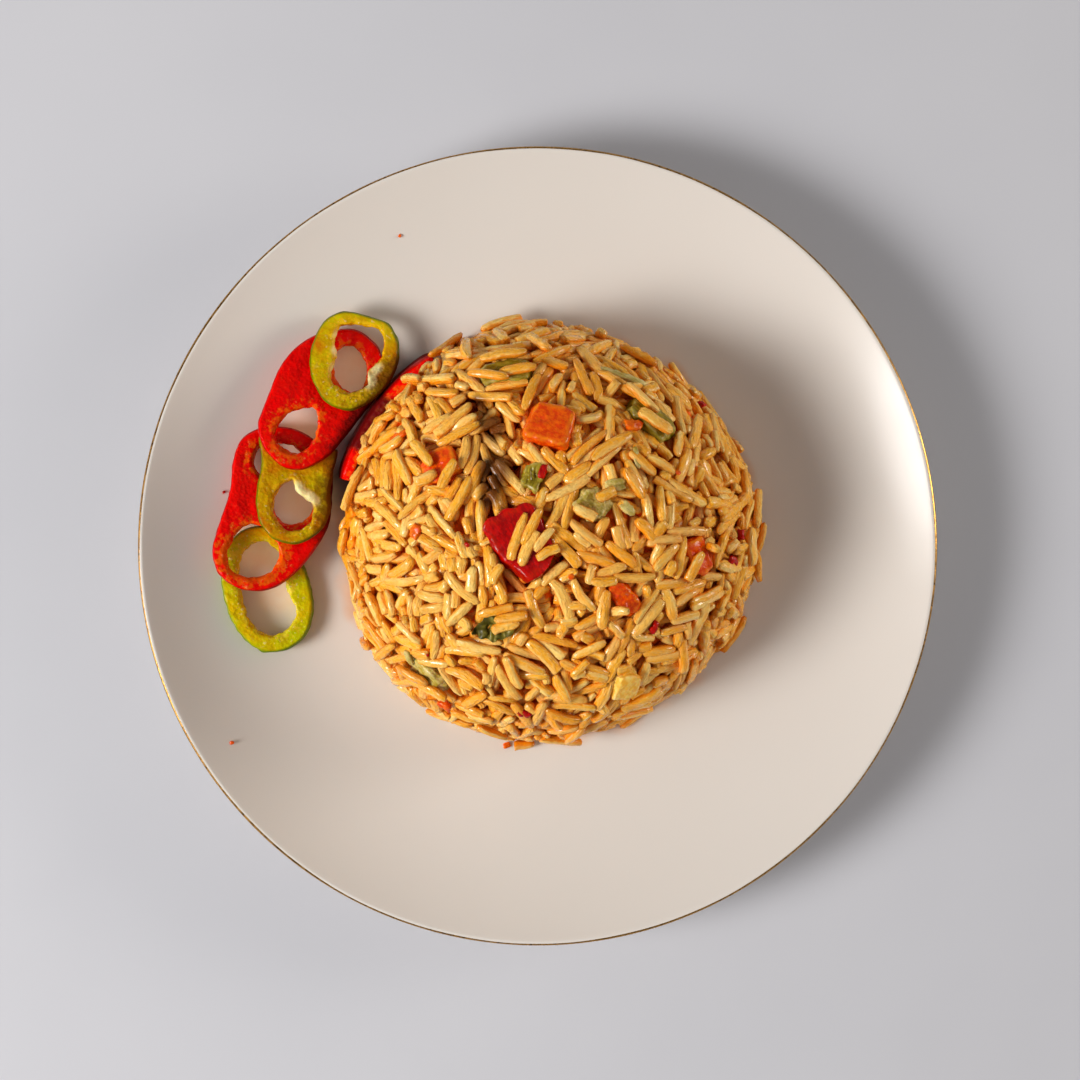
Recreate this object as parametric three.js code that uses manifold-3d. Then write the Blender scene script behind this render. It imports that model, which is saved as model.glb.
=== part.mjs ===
// A plate of fried rice: a moulded dome of long-grain rice with diced carrot and pepper, on a round
// gold-rimmed coupe plate, beside a chain of five pepper slices that lean on each other.
// Millimetres, +Z up. The origin is the middle of the foot ring's lower face; -X is the pepper side.
import * as THREE from "three";
import { mergeVertices } from "three/addons/utils/BufferGeometryUtils.js";
import { ConvexHull } from "three/addons/math/ConvexHull.js";
import Module from "manifold-3d";

const wasm = await Module();
wasm.setup();

// ---------- driving dimensions ----------
const PLATE = {
  radius: 115, // a 230 mm coupe plate
  height: 22, // from the table to the lip
  wellHeight: 6.2, // top of the flat middle
  wellRadius: 58, // where the glaze begins to rise
  risePower: 2.2, // how late the wall turns up
  wall: 4.0, // thickness of the middle
  lipWall: 2.4,
  footRadius: 62, // outside of the foot ring
  footWidth: 5,
  sides: 48,
};

const DOME = {
  centre: new THREE.Vector2(2.7, 3.7),
  radius: 59.4, // of the core: the grains stand proud of it
  height: 49.6, // above the well
  power: 2.35, // 2 is a true ellipsoid, more is boxier
  lobe: 0.022, // three soft bulges round its foot, as a share of the radius
  lobeAzimuth: THREE.MathUtils.degToRad(115),
};
const DENT = { x: -11, y: 24, width: 8, length: 14, depth: 4.5 }; // in the heap beside its crown

// Places along a grain are shares of half its length, from its middle.
const GRAIN = {
  length: 11.6,
  width: 3.3,
  height: 1.9, // of its ridge above the bare heap
  ridge: [-0.9, -0.3, 0.3, 0.9],
  ridgeHeights: [0.55, 1, 1, 0.55], // as shares of the height
  flanks: [-0.66, 0, 0.66],
  ends: [-1.25, 1.25],
  valley: 0.5, // depth between grains, below the bare heap
  valleyRoom: 1.65, // least distance between the points of a valley
  apart: 2.8, // least distance between the ridges of neighbours
  tries: 2400, // places tried over the dome
  turns: 5, // directions tried at each
};
const LOOSE = { count: 20, width: 3, sides: 4, tilt: 0.5, lift: 1.7 }; // grains across the others
const FOOT = { sides: 40, clear: 0.4, below: 0.6 }; // the heap's lower edge

const STRIP = {
  inner: 57.9, // distances from the dome's axis
  outer: 61.7,
  height: 12.5,
  from: THREE.MathUtils.degToRad(123),
  to: THREE.MathUtils.degToRad(165),
  sides: 9,
};

const SLICE_THICKNESS = 4.2;
const OUTLINE_STEPS = 34; // round a slice
const CHAMBER_STEPS = 22; // round a seed chamber
const CUT_EDGE = 0.7; // a dice's edges are broken by this much
const CUT_CORNER = 0.16; // and its corners by this share of its width
const GAP = 0.35; // between neighbours that touch
const UP = new THREE.Vector3(0, 0, 1);

const COLOUR = {
  glaze: 0xd9cec2,
  rice: 0xd9a458,
  carrot: 0xe0661a,
  redPepper: 0xc01008,
  greenPepper: 0xa9a81c,
  cookedPepper: 0x7d7420,
  yellowPepper: 0xe0b040,
  herb: 0x34371a,
};

// ---------- small tools ----------
/** Numbers from 0 to 1 that are the same on every run. */
function seeded(seed) {
  let state = seed;
  return () => {
    state = (state + 0x6d2b79f5) | 0;
    let t = Math.imul(state ^ (state >>> 15), 1 | state);
    t = (t + Math.imul(t ^ (t >>> 7), 61 | t)) ^ t;
    return ((t ^ (t >>> 14)) >>> 0) / 4294967296;
  };
}

/** A closed geometry as a solid that can be joined and cut. */
function solidOf(geometry) {
  const bare = geometry.clone();
  bare.deleteAttribute("normal");
  bare.deleteAttribute("uv");
  const merged = mergeVertices(bare, 1e-4);
  const mesh = new wasm.Mesh({
    numProp: 3,
    vertProperties: new Float32Array(merged.attributes.position.array),
    triVerts: new Uint32Array(merged.index.array),
  });
  return new wasm.Manifold(mesh);
}

/** The largest body of a solid as a geometry: scraps that a cut leaves loose are dropped. */
function geometryOf(solid) {
  const largest = solid.decompose().sort((a, b) => b.volume() - a.volume())[0];
  const mesh = largest.getMesh();
  const geometry = new THREE.BufferGeometry();
  geometry.setAttribute("position", new THREE.BufferAttribute(mesh.vertProperties, 3));
  geometry.setIndex(new THREE.BufferAttribute(mesh.triVerts, 1));
  geometry.computeVertexNormals();
  return geometry;
}

function meshOf(name, geometry, colour, roughness) {
  const material = new THREE.MeshStandardMaterial({ color: colour, roughness, metalness: 0 });
  const mesh = new THREE.Mesh(geometry, material);
  mesh.name = name;
  return mesh;
}

/** Moves every vertex of a geometry by a rule that changes the point it is given. */
function reshape(geometry, rule) {
  const position = geometry.attributes.position;
  const point = new THREE.Vector3();
  for (let i = 0; i < position.count; i++) {
    rule(point.fromBufferAttribute(position, i));
    position.setXYZ(i, point.x, point.y, point.z);
  }
  geometry.computeVertexNormals();
  return geometry;
}

/** A smooth closed outline through a few points, anticlockwise. */
function outlineThrough(points, steps) {
  const through = points.map(([x, y]) => new THREE.Vector3(x, y, 0));
  const curve = new THREE.CatmullRomCurve3(through, true, "centripetal");
  const outline = curve.getPoints(steps).slice(0, steps);
  const flat = outline.map((p) => new THREE.Vector2(p.x, p.y));
  return THREE.ShapeUtils.isClockWise(flat) ? flat.reverse() : flat;
}

/** True where (x, y) lies inside a closed outline. */
function inside(outline, x, y) {
  let found = false;
  outline.forEach((a, i) => {
    const b = outline[(i + 1) % outline.length];
    const crosses = a.y > y !== b.y > y;
    if (crosses && x < ((b.x - a.x) * (y - a.y)) / (b.y - a.y) + a.x) found = !found;
  });
  return found;
}

// ---------- the plate ----------
/** Height of the glaze at a distance from the middle: flat, then a power curve up to the lip. */
function glazeHeight(radius) {
  const share = Math.max(0, radius - PLATE.wellRadius) / (PLATE.radius - PLATE.wellRadius);
  return PLATE.wellHeight + (PLATE.height - PLATE.wellHeight) * share ** PLATE.risePower;
}

/** The plate's section from the underside's middle out to the round lip and back over the glaze. */
function plateProfile() {
  const steps = 5;
  const lipReach = PLATE.radius - PLATE.lipWall / 2;
  const glaze = [];
  const underside = [];
  for (let i = 0; i <= steps; i++) {
    const share = i / steps;
    const radius = THREE.MathUtils.lerp(PLATE.wellRadius, lipReach, share);
    glaze.push(new THREE.Vector2(radius, glazeHeight(radius)));
    if (radius > PLATE.footRadius + 3) {
      const wall = THREE.MathUtils.lerp(PLATE.wall, PLATE.lipWall, share);
      underside.push(new THREE.Vector2(radius + wall * 0.3, glazeHeight(radius) - wall * 0.95));
    }
  }
  const recess = PLATE.wellHeight - PLATE.wall;
  const footInside = PLATE.footRadius - PLATE.footWidth;
  return [
    new THREE.Vector2(0, recess),
    new THREE.Vector2(footInside - 2, recess),
    new THREE.Vector2(footInside, 0),
    new THREE.Vector2(PLATE.footRadius - 0.8, 0),
    new THREE.Vector2(PLATE.footRadius, 0.8),
    new THREE.Vector2(PLATE.footRadius + 0.6, recess),
    ...underside.slice(0, -1),
    new THREE.Vector2(PLATE.radius - 0.2, PLATE.height - PLATE.lipWall),
    new THREE.Vector2(PLATE.radius, PLATE.height - PLATE.lipWall * 0.5),
    new THREE.Vector2(PLATE.radius - 0.4, PLATE.height - 0.2),
    ...glaze.reverse(),
    new THREE.Vector2(0, PLATE.wellHeight),
  ];
}

function plateGeometry() {
  return new THREE.LatheGeometry(plateProfile(), PLATE.sides).rotateX(Math.PI / 2);
}

// ---------- the pepper slices ----------
// Each slice is an outline round one or two seed chambers, in millimetres from its own centre, as cut
// across a small sweet pepper. They are listed from the lowest to the highest in the chain.
const SLICES = [
  {
    name: "green_slice_low",
    colour: COLOUR.greenPepper,
    centre: [-78.8, -12.6],
    outer: [[-13.1, 3.8], [-12, -3.4], [-8.5, -11.9], [-2.5, -17.6], [4.2, -18.1], [10.6, -14.1],
      [13.2, -6.1], [12.1, 2], [9.2, 8.9], [5.2, 15], [-0.4, 18.2], [-6.5, 17.4], [-11.3, 12.5]],
    chambers: [[[-7.4, -1.5], [-5.2, -9], [-1, -13.2], [4.6, -12.6], [8.6, -7.2], [6.3, -1.3],
      [4.8, 4.5], [3.4, 10.6], [-1, 14], [-6.4, 11.6], [-8.3, 5]]],
  },
  {
    name: "red_slice_low",
    colour: COLOUR.redPepper,
    centre: [-75.4, 10.8],
    outer: [[-4.6, 23.7], [-10.4, 20.2], [-12.9, 13.6], [-13.5, 5], [-16.4, -4.4], [-18.2, -12.6],
      [-15.8, -19.6], [-9.7, -23.4], [-1.5, -23.1], [5, -18.7], [10.2, -12.3], [14, -5.6],
      [15.2, 2.4], [15.2, 9.8], [12.8, 17.3], [7.4, 21.8], [1.4, 23.8]],
    chambers: [
      [[-14.2, -12.5], [-13, -17.8], [-7.6, -20], [-2, -18.5], [0.9, -13], [-1, -8.4], [-5, -4.9],
        [-9, -4.6], [-12, -7.4]],
      [[-7.2, 14.4], [-5.8, 18], [-0.8, 19.4], [4.4, 18.2], [8.4, 15], [10.3, 10.5], [10.5, 4.6],
        [9.6, -1], [6.4, -4.2], [1.4, -4.4], [-0.9, -1], [-2.3, 3.8], [-4.6, 8.6], [-6.7, 11.4]],
    ],
  },
  {
    name: "green_slice_middle",
    colour: COLOUR.greenPepper,
    centre: [-70.1, 15.5],
    outer: [[-10.3, 16.2], [-6.1, 12], [0.6, 9.6], [7, 10.2], [11.6, 12.6], [10.6, 5.8], [9.7, 0.3],
      [9.9, -5.2], [7.2, -11], [0.3, -14.9], [-7, -12.6], [-10.5, -6.1], [-10.7, 1.5], [-9.4, 8.5]],
    chambers: [[[-5.9, -2], [-6.1, -6.1], [-2.8, -11], [1.4, -11], [4.9, -8], [5, -3.4], [2.6, -1.4],
      [0.2, 0.8], [-0.2, 3.4], [-1.6, 3.4], [-4.4, 1.6]]],
  },
  {
    name: "red_slice_high",
    colour: COLOUR.redPepper,
    centre: [-62.2, 42.7],
    outer: [[8.1, 20.4], [14.6, 16.4], [17.6, 9.4], [15.6, 1.4], [10.8, -5.1], [5.9, -11.7],
      [0.6, -17.6], [-7.4, -20.9], [-14.3, -17.3], [-18, -9.2], [-15.5, 0.2], [-10.4, 11.7],
      [-2.6, 18.3]],
    chambers: [
      [[-13.5, -10.4], [-11, -5.4], [-6.6, -3], [-2.2, -2.9], [-1.3, -7.6], [-3, -13.4],
        [-7.6, -16.2], [-12, -14]],
      [[2.9, 10], [4.2, 14.6], [8.2, 15.7], [11.4, 12.2], [12.6, 7.6], [11.2, 3.2], [7.2, 1.9],
        [3.8, 4.6]],
    ],
  },
  {
    name: "green_slice_high",
    colour: COLOUR.greenPepper,
    centre: [-52.8, 53.5],
    outer: [[-3, 14.4], [4.6, 12.9], [9.6, 10.9], [12.4, 5], [11.5, -2.6], [6.4, -10.2], [-1.6, -14.4],
      [-8.9, -11.1], [-12.7, -2], [-11.3, 6.8], [-7.9, 12.3]],
    chambers: [[[-4.3, 10.3], [2, 10.4], [6.6, 9.6], [8.3, 5.6], [7.3, 0.5], [3.8, -3.2], [3.9, -6.8],
      [-0.4, -9.3], [-4.6, -8.3], [-6.9, -4.9], [-5.6, 1.2], [-5.9, 5.9]]],
  },
];

/**
 * The plane on which a stiff slice comes to rest: of all planes through three of the points that the
 * slice may touch, the one round its centre that passes under none of the others.
 */
function restingPlane(contacts, centre) {
  const turn = (a, b) => (b.x - a.x) * (centre[1] - a.y) - (b.y - a.y) * (centre[0] - a.x);
  for (let i = 0; i < contacts.length; i++) {
    for (let j = i + 1; j < contacts.length; j++) {
      for (let k = j + 1; k < contacts.length; k++) {
        const [a, b, c] = [contacts[i], contacts[j], contacts[k]];
        const turns = [turn(a, b), turn(b, c), turn(c, a)];
        const round = turns.every((t) => t >= 0) || turns.every((t) => t <= 0);
        const { normal, constant } = new THREE.Plane().setFromCoplanarPoints(a, b, c);
        if (!round || Math.abs(normal.z) < 1e-6) continue;
        const height = (x, y) => -(normal.x * x + normal.y * y + constant) / normal.z;
        if (contacts.every((p) => height(p.x, p.y) >= p.z - 1e-4)) return height;
      }
    }
  }
  throw new Error("no resting plane");
}

/** True where the flesh of a slice is over (x, y). */
function covers(laid, x, y) {
  return inside(laid.rings[0], x, y) && !laid.rings.slice(1).some((ring) => inside(ring, x, y));
}

/** Where the sides of two closed outlines cross. */
function crossings(first, second) {
  const found = [];
  first.forEach((a, i) => {
    const along = first[(i + 1) % first.length].clone().sub(a);
    second.forEach((b, j) => {
      const other = second[(j + 1) % second.length].clone().sub(b);
      const turn = along.cross(other);
      const apart = b.clone().sub(a);
      const share = apart.cross(other) / turn;
      const otherShare = apart.cross(along) / turn;
      const meets = share >= 0 && share <= 1 && otherShare >= 0 && otherShare <= 1;
      if (meets) found.push(a.clone().addScaledVector(along, share));
    });
  });
  return found;
}

/** The corners of the area where two slices lie over each other. */
function sharedCorners(upper, lower) {
  const upperPoints = upper.rings.flat().filter((p) => covers(lower, p.x, p.y));
  const lowerPoints = lower.rings.flat().filter((p) => covers(upper, p.x, p.y));
  const met = upper.rings.flatMap((ring) => lower.rings.flatMap((other) => crossings(ring, other)));
  return [...upperPoints, ...lowerPoints, ...met];
}

/** Lays the slices down in order: each leans on the glaze and on those already there. */
function settleSlices() {
  const laid = [];
  for (const slice of SLICES) {
    const place = (p) => new THREE.Vector2(p.x + slice.centre[0], p.y + slice.centre[1]);
    const outer = outlineThrough(slice.outer, OUTLINE_STEPS);
    const chambers = slice.chambers.map((points) => outlineThrough(points, CHAMBER_STEPS));
    const next = { slice, rings: [outer, ...chambers].map((ring) => ring.map(place)) };
    const onGlaze = next.rings[0].map((p) => new THREE.Vector3(p.x, p.y, glazeHeight(p.length()) + GAP));
    const onSlices = laid.flatMap((lower) =>
      sharedCorners(next, lower).map((p) => {
        const top = lower.height(p.x, p.y) + SLICE_THICKNESS;
        return new THREE.Vector3(p.x, p.y, top + GAP);
      }),
    );
    next.height = restingPlane([...onGlaze, ...onSlices], slice.centre);
    laid.push(next);
  }
  return laid;
}

/** A slice cut square through the pepper, lifted point by point to its resting plane. */
function makeSlice(laid) {
  const [outer, ...chambers] = laid.rings;
  const shape = new THREE.Shape(outer);
  shape.holes = chambers.map((ring) => new THREE.Path(ring));
  const settings = { depth: SLICE_THICKNESS, bevelEnabled: false };
  const geometry = new THREE.ExtrudeGeometry(shape, settings);
  reshape(geometry, (p) => {
    p.z += laid.height(p.x, p.y);
  });
  return meshOf(laid.slice.name, geometry, laid.slice.colour, 0.35);
}

// ---------- the dome of rice ----------
/** Share by which the dome's foot swells at an azimuth: three soft lobes. */
function lobe(azimuth) {
  return 1 + DOME.lobe * Math.cos(3 * (azimuth - DOME.lobeAzimuth));
}

/** How far the heap is dented at (x, y). */
function dentAt(x, y) {
  const across = (x - DENT.x) / DENT.width;
  const along = (y - DENT.y) / DENT.length;
  return DENT.depth * Math.exp(-(across ** 2) - along ** 2);
}

/** Brings a point onto the plain dome along the line to the middle of its foot. */
function ontoDome(p) {
  const across = (Math.hypot(p.x, p.y) / DOME.radius) ** DOME.power;
  const up = (Math.max(0, p.z) / DOME.height) ** DOME.power;
  return p.multiplyScalar((across + up) ** (-1 / DOME.power));
}

/** The way out of the plain dome at a point on it. */
function facing(p) {
  const radius = Math.hypot(p.x, p.y);
  const outward = (radius / DOME.radius) ** (DOME.power - 1) / DOME.radius / radius;
  const upward = (Math.max(0, p.z) / DOME.height) ** (DOME.power - 1) / DOME.height;
  return new THREE.Vector3(p.x * outward, p.y * outward, upward).normalize();
}

/** Moves a point of the plain dome to the real heap: its lobes, its dent and its place on the plate. */
function settleOnPlate(p) {
  const swell = lobe(Math.atan2(p.y, p.x));
  p.x = p.x * swell + DOME.centre.x;
  p.y = p.y * swell + DOME.centre.y;
  p.z += PLATE.wellHeight - (dentAt(p.x, p.y) * p.z) / DOME.height;
  return p;
}

/** A frame at a point of the plain dome: Z faces out, X is level and then turned by spin round Z. */
function frameAt(point, spin) {
  const normal = facing(point);
  const side = UP.clone().cross(normal).normalize().applyAxisAngle(normal, spin);
  const across = new THREE.Vector3().crossVectors(normal, side);
  return new THREE.Matrix4().makeBasis(side, across, normal).setPosition(point);
}

/** The same frame on the real heap above (x, y) of the plate, lifted off its surface. */
function heapFrame(x, y, spin, lift) {
  const flat = new THREE.Vector3(x - DOME.centre.x, y - DOME.centre.y, 0);
  flat.divideScalar(lobe(Math.atan2(flat.y, flat.x)));
  const across = Math.min(1, flat.length() / DOME.radius) ** DOME.power;
  flat.z = DOME.height * (1 - across) ** (1 / DOME.power);
  const frame = frameAt(flat, spin);
  const lifted = flat.addScaledVector(facing(flat), lift);
  return frame.setPosition(settleOnPlate(lifted));
}

/** Points spread over the plain dome, an equal area to each, from its foot to its crown. */
function spiralOverDome(count) {
  const section = [];
  const steps = 200;
  for (let i = 0; i <= steps; i++) {
    const angle = (Math.PI * i) / (2 * steps);
    section.push(ontoDome(new THREE.Vector3(Math.cos(angle), 0, Math.sin(angle))));
  }
  const areas = [0];
  for (let i = 1; i < section.length; i++) {
    const band = section[i].distanceTo(section[i - 1]) * (section[i].x + section[i - 1].x);
    areas.push(areas[i - 1] + band);
  }
  const goldenAngle = Math.PI * (3 - Math.sqrt(5));
  const points = [];
  for (let i = 0; i < count; i++) {
    const wanted = (areas[areas.length - 1] * (i + 0.5)) / count;
    const step = areas.findIndex((area) => area >= wanted);
    points.push(section[step].clone().applyAxisAngle(UP, i * goldenAngle));
  }
  return points;
}

/** Grains laid on the dome in every direction, each where it clears all that were laid before it. */
function layGrains(random) {
  const laid = [];
  for (const point of spiralOverDome(GRAIN.tries)) {
    for (let turn = 0; turn < GRAIN.turns; turn++) {
      const half = (GRAIN.length / 2) * THREE.MathUtils.lerp(0.75, 1.1, random());
      const frame = frameAt(point, Math.PI * random());
      const at = (share, side) => ontoDome(new THREE.Vector3(share * half, side, 0).applyMatrix4(frame));
      const ridge = GRAIN.ridge.map((share) => at(share, 0));
      const clears = (other) => ridge.every((p) => other.every((q) => p.distanceTo(q) > GRAIN.apart));
      const onFoot = ridge.some((p) => p.z < FOOT.clear);
      if (onFoot || !laid.every((grain) => clears(grain.ridge))) continue;
      laid.push({ ridge, at, height: GRAIN.height * THREE.MathUtils.lerp(0.75, 1.2, random()) });
      break;
    }
  }
  return laid;
}

/**
 * The heap: every grain is a ridge with a valley round it. The bare points, which all lie on the
 * convex dome, are joined by their convex hull. Then each is moved out to its ridge or in to its valley.
 */
function heapGeometry(random) {
  const grains = layGrains(random);
  const lifts = new Map();
  for (const { ridge, height } of grains) {
    ridge.forEach((point, i) => lifts.set(point, height * GRAIN.ridgeHeights[i]));
  }
  const addValley = (point, room) => {
    const clear = [...lifts.keys()].every((other) => other.distanceTo(point) > room);
    if (clear && point.z > FOOT.clear) lifts.set(point, -GRAIN.valley);
  };
  for (const { at } of grains) {
    GRAIN.ends.forEach((share) => addValley(at(share, 0), GRAIN.valleyRoom));
    for (const share of GRAIN.flanks) {
      addValley(at(share, -GRAIN.width / 2), GRAIN.valleyRoom);
      addValley(at(share, GRAIN.width / 2), GRAIN.valleyRoom);
    }
  }
  spiralOverDome(GRAIN.tries).forEach((point) => addValley(point, GRAIN.apart));
  for (let i = 0; i < FOOT.sides; i++) {
    const foot = new THREE.Vector3(DOME.radius, 0, -FOOT.below);
    lifts.set(foot.applyAxisAngle(UP, (2 * Math.PI * i) / FOOT.sides), 0);
  }
  const corners = [];
  for (const face of new ConvexHull().setFromPoints([...lifts.keys()]).faces) {
    let edge = face.edge;
    do {
      const bare = edge.head().point;
      const moved = bare.clone().addScaledVector(facing(bare), lifts.get(bare));
      corners.push(settleOnPlate(moved));
      edge = edge.next;
    } while (edge !== face.edge);
  }
  return new THREE.BufferGeometry().setFromPoints(corners);
}

/** Grains that lie across the others and stand off the heap, each a spindle with few sides. */
function looseGrains(random) {
  return spiralOverDome(LOOSE.count).map((point) => {
    const half = (GRAIN.length / 2) * THREE.MathUtils.lerp(0.85, 1.1, random());
    const belly = LOOSE.width / 2;
    const profile = [[0, -half], [belly, -half * 0.6], [belly, half * 0.5], [0, half]];
    const spindle = new THREE.LatheGeometry(profile.map(([r, y]) => new THREE.Vector2(r, y)), LOOSE.sides);
    spindle.rotateZ(Math.PI / 2).rotateY(LOOSE.tilt * (random() - 0.5));
    const frame = frameAt(point, Math.PI * random());
    const lifted = settleOnPlate(point.addScaledVector(facing(point), LOOSE.lift));
    return solidOf(spindle.applyMatrix4(frame.setPosition(lifted)));
  });
}

// ---------- the vegetables in the rice ----------
// Each piece lies on the dome above its place, turned by spin from level, with its middle lifted
// off the bare surface. Sizes are length, width and thickness.
const CARROTS = [
  { name: "carrot_crown", at: [3.3, 32.7], spin: -16, size: [12.5, 11.2, 7], lift: 0.4 },
  { name: "carrot_west", at: [-27.1, 22.4], spin: -38, size: [10.5, 9, 6], lift: -1 },
  { name: "carrot_foot", at: [-53.6, 5.6], spin: 0, size: [13, 9, 5], lift: -0.6 },
  { name: "carrot_south_east", at: [23.9, -14.1], spin: 78, size: [11, 5.4, 5], lift: -0.6 },
  { name: "carrot_east", at: [45.1, -2.8], spin: 34, size: [10.5, 7, 5], lift: -0.8 },
];
const COOKED_DICE = [
  { name: "green_pepper_middle", at: [15.1, 11.5], spin: 20, size: [8.4, 7.6, 4.4], lift: -0.4 },
  { name: "green_pepper_crown", at: [-1.4, 19], spin: 60, size: [7, 5, 4], lift: 0.2 },
];
const COOKED_FLAPS = [
  { name: "green_pepper_east", at: [32, 35.4], spin: -2, size: [16, 8, 3.6], lift: 0, bend: -1 },
  { name: "green_pepper_north", at: [-9, 48.6], spin: -7, size: [15, 8, 3.4], lift: 0, bend: -1 },
  { name: "green_pepper_foot", at: [-31.2, -37.1], spin: 2, size: [12, 9, 4], lift: 0, bend: -1 },
];
const YELLOW = { name: "yellow_pepper", at: [24.3, -38.1], spin: 60, size: [9, 7.4, 5], lift: 0.2 };
const RED = { name: "red_pepper", at: [-4.1, 0.8], spin: 5, size: [20, 15, 3.6], lift: -0.2, bend: 1.6 };
const HERB = { name: "herb_leaf", at: [-11.6, -22.1], spin: 41, size: [12.5, 7, 1.3], lift: 0.9 };
const PIECES = [
  ...CARROTS.map((piece) => ({ ...piece, make: dice, colour: COLOUR.carrot })),
  ...COOKED_DICE.map((piece) => ({ ...piece, make: dice, colour: COLOUR.cookedPepper })),
  ...COOKED_FLAPS.map((piece) => ({ ...piece, make: flap, colour: COLOUR.cookedPepper })),
  { ...YELLOW, make: dice, colour: COLOUR.yellowPepper },
  { ...RED, make: flap, colour: COLOUR.redPepper },
  { ...HERB, make: leaf, colour: COLOUR.herb },
];

/** A knife-cut dice: a block with its corners and edges taken off. */
function dice([length, width, thickness]) {
  const corner = width * CUT_CORNER;
  const [x, y] = [length / 2 - CUT_EDGE, width / 2 - CUT_EDGE];
  const half = [[x, -y + corner], [x, y - corner], [x - corner, y], [-x + corner, y]];
  const plan = [...half, ...half.map(([px, py]) => [-px, -py])].map(([px, py]) => new THREE.Vector2(px, py));
  const geometry = new THREE.ExtrudeGeometry(new THREE.Shape(plan), {
    depth: thickness - 2 * CUT_EDGE,
    bevelSegments: 1,
    bevelSize: CUT_EDGE,
    bevelThickness: CUT_EDGE,
  });
  return geometry.translate(0, 0, CUT_EDGE - thickness / 2);
}

/** A cut of pepper wall: a slab bent along its length, with its corners drawn in. */
function flap([length, width, thickness], bend) {
  const drawIn = 0.12;
  return reshape(new THREE.BoxGeometry(length, width, thickness, 4, 3, 1), (p) => {
    const along = (2 * p.x) / length;
    const across = (2 * p.y) / width;
    p.x *= 1 - drawIn * across ** 2;
    p.y *= 1 - drawIn * along ** 2;
    p.z += bend * along ** 2;
  });
}

/** A small leaf: a thin blade, pointed at both ends, that waves along its length and folds up. */
function leaf([length, width, thickness]) {
  const [taper, wave, waves, fold] = [0.62, 0.6, 4, 0.35];
  return reshape(new THREE.BoxGeometry(length, width, thickness, 6, 2, 1), (p) => {
    const along = (2 * p.x) / length;
    p.y *= 1 - taper * along ** 2;
    p.z += wave * Math.sin(along * waves) + fold * Math.abs(p.y);
  });
}

function frameOf({ at, spin, lift }) {
  return heapFrame(at[0], at[1], THREE.MathUtils.degToRad(spin), lift);
}

/** The room that a piece needs: its own shape, grown by the gap to its neighbours. */
function pocketOf(piece) {
  const grown = piece.size.map((side) => side + 2 * GAP);
  return solidOf(piece.make(grown, piece.bend).applyMatrix4(frameOf(piece)));
}

// ---------- the strip of red pepper on edge against the dome's foot ----------
/** An arc of pepper wall about the dome's axis, grown by the given room on every side. */
function stripGeometry(room) {
  const inner = STRIP.inner - room;
  const outer = STRIP.outer + room;
  const spread = room / STRIP.outer;
  const plan = new THREE.Shape();
  plan.absarc(0, 0, outer, STRIP.from - spread, STRIP.to + spread, false);
  plan.absarc(0, 0, inner, STRIP.to + spread, STRIP.from - spread, true);
  const settings = { depth: STRIP.height + 2 * room, bevelEnabled: false, curveSegments: STRIP.sides };
  const strip = new THREE.ExtrudeGeometry(plan, settings);
  return reshape(strip, (p) => {
    p.x += DOME.centre.x;
    p.y += DOME.centre.y;
    p.z += glazeHeight(Math.hypot(p.x, p.y)) + GAP - room;
  });
}

// ---------- small flakes fused to the rice ----------
// Scraps of red pepper and carrot and a pale stem. Sizes are length and width.
const FLAKES = [
  { at: [1.4, 20.3], spin: 70, size: [4.2, 2] },
  { at: [56.8, 3.1], spin: 10, size: [3.4, 2.2] },
  { at: [54.2, -4.3], spin: 70, size: [4.4, 2.4] },
  { at: [31.9, -22.2], spin: 20, size: [3.6, 2] },
  { at: [-3.7, -46.2], spin: -20, size: [4.2, 2.4] },
  { at: [26.3, 33.2], spin: 40, size: [5.2, 3] },
  { at: [46.4, 40.1], spin: 80, size: [3.8, 2] },
  { at: [-33.2, 4.1], spin: -30, size: [4.2, 3] },
  { at: [-26, -44.6], spin: 10, size: [3.8, 3.2] },
  { at: [23.8, 46.8], spin: 10, size: [14, 2.2] },
];
const FLAKE = { thickness: 1.8, lift: 1.2 };

function makeFlakes() {
  return FLAKES.map(({ at, spin, size: [length, width] }) => {
    const flake = new THREE.OctahedronGeometry(0.5).scale(length, width, FLAKE.thickness);
    return solidOf(flake.applyMatrix4(frameOf({ at, spin, lift: FLAKE.lift })));
  });
}

// ---------- assembly ----------
const random = seeded(11);
const riceHeap = wasm.Manifold.union([
  solidOf(heapGeometry(random)),
  ...looseGrains(random),
  ...makeFlakes(),
]);
const roomOverGlaze = solidOf(plateGeometry().translate(0, 0, GAP));
const pockets = wasm.Manifold.union([roomOverGlaze, solidOf(stripGeometry(GAP)), ...PIECES.map(pocketOf)]);

const plateOfFriedRice = new THREE.Group();
plateOfFriedRice.add(meshOf("plate", plateGeometry(), COLOUR.glaze, 0.15));
plateOfFriedRice.add(meshOf("rice", geometryOf(riceHeap.subtract(pockets)), COLOUR.rice, 0.5));
plateOfFriedRice.add(meshOf("red_strip", stripGeometry(0), COLOUR.redPepper, 0.3));
settleSlices().forEach((laid) => plateOfFriedRice.add(makeSlice(laid)));
for (const piece of PIECES) {
  const geometry = piece.make(piece.size, piece.bend).applyMatrix4(frameOf(piece));
  plateOfFriedRice.add(meshOf(piece.name, geometry, piece.colour, 0.45));
}

export default plateOfFriedRice;
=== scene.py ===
"""The looks of a plate of fried rice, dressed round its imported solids.

A moulded dome of long-grain rice stands on a gold-rimmed coupe plate. Carrot, pepper and a herb leaf
lie in it, and a chain of five raw pepper slices leans on itself beside it. Sizes and places in the
classes are millimetres in the part's own frame; meshes are written in metres. Every random draw is
seeded, so each run gives the same model.
"""

from __future__ import annotations

import logging
import math
from dataclasses import dataclass, field
from enum import Enum

import bpy
import numpy as np
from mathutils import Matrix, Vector
from mathutils.geometry import delaunay_2d_cdt


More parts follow.
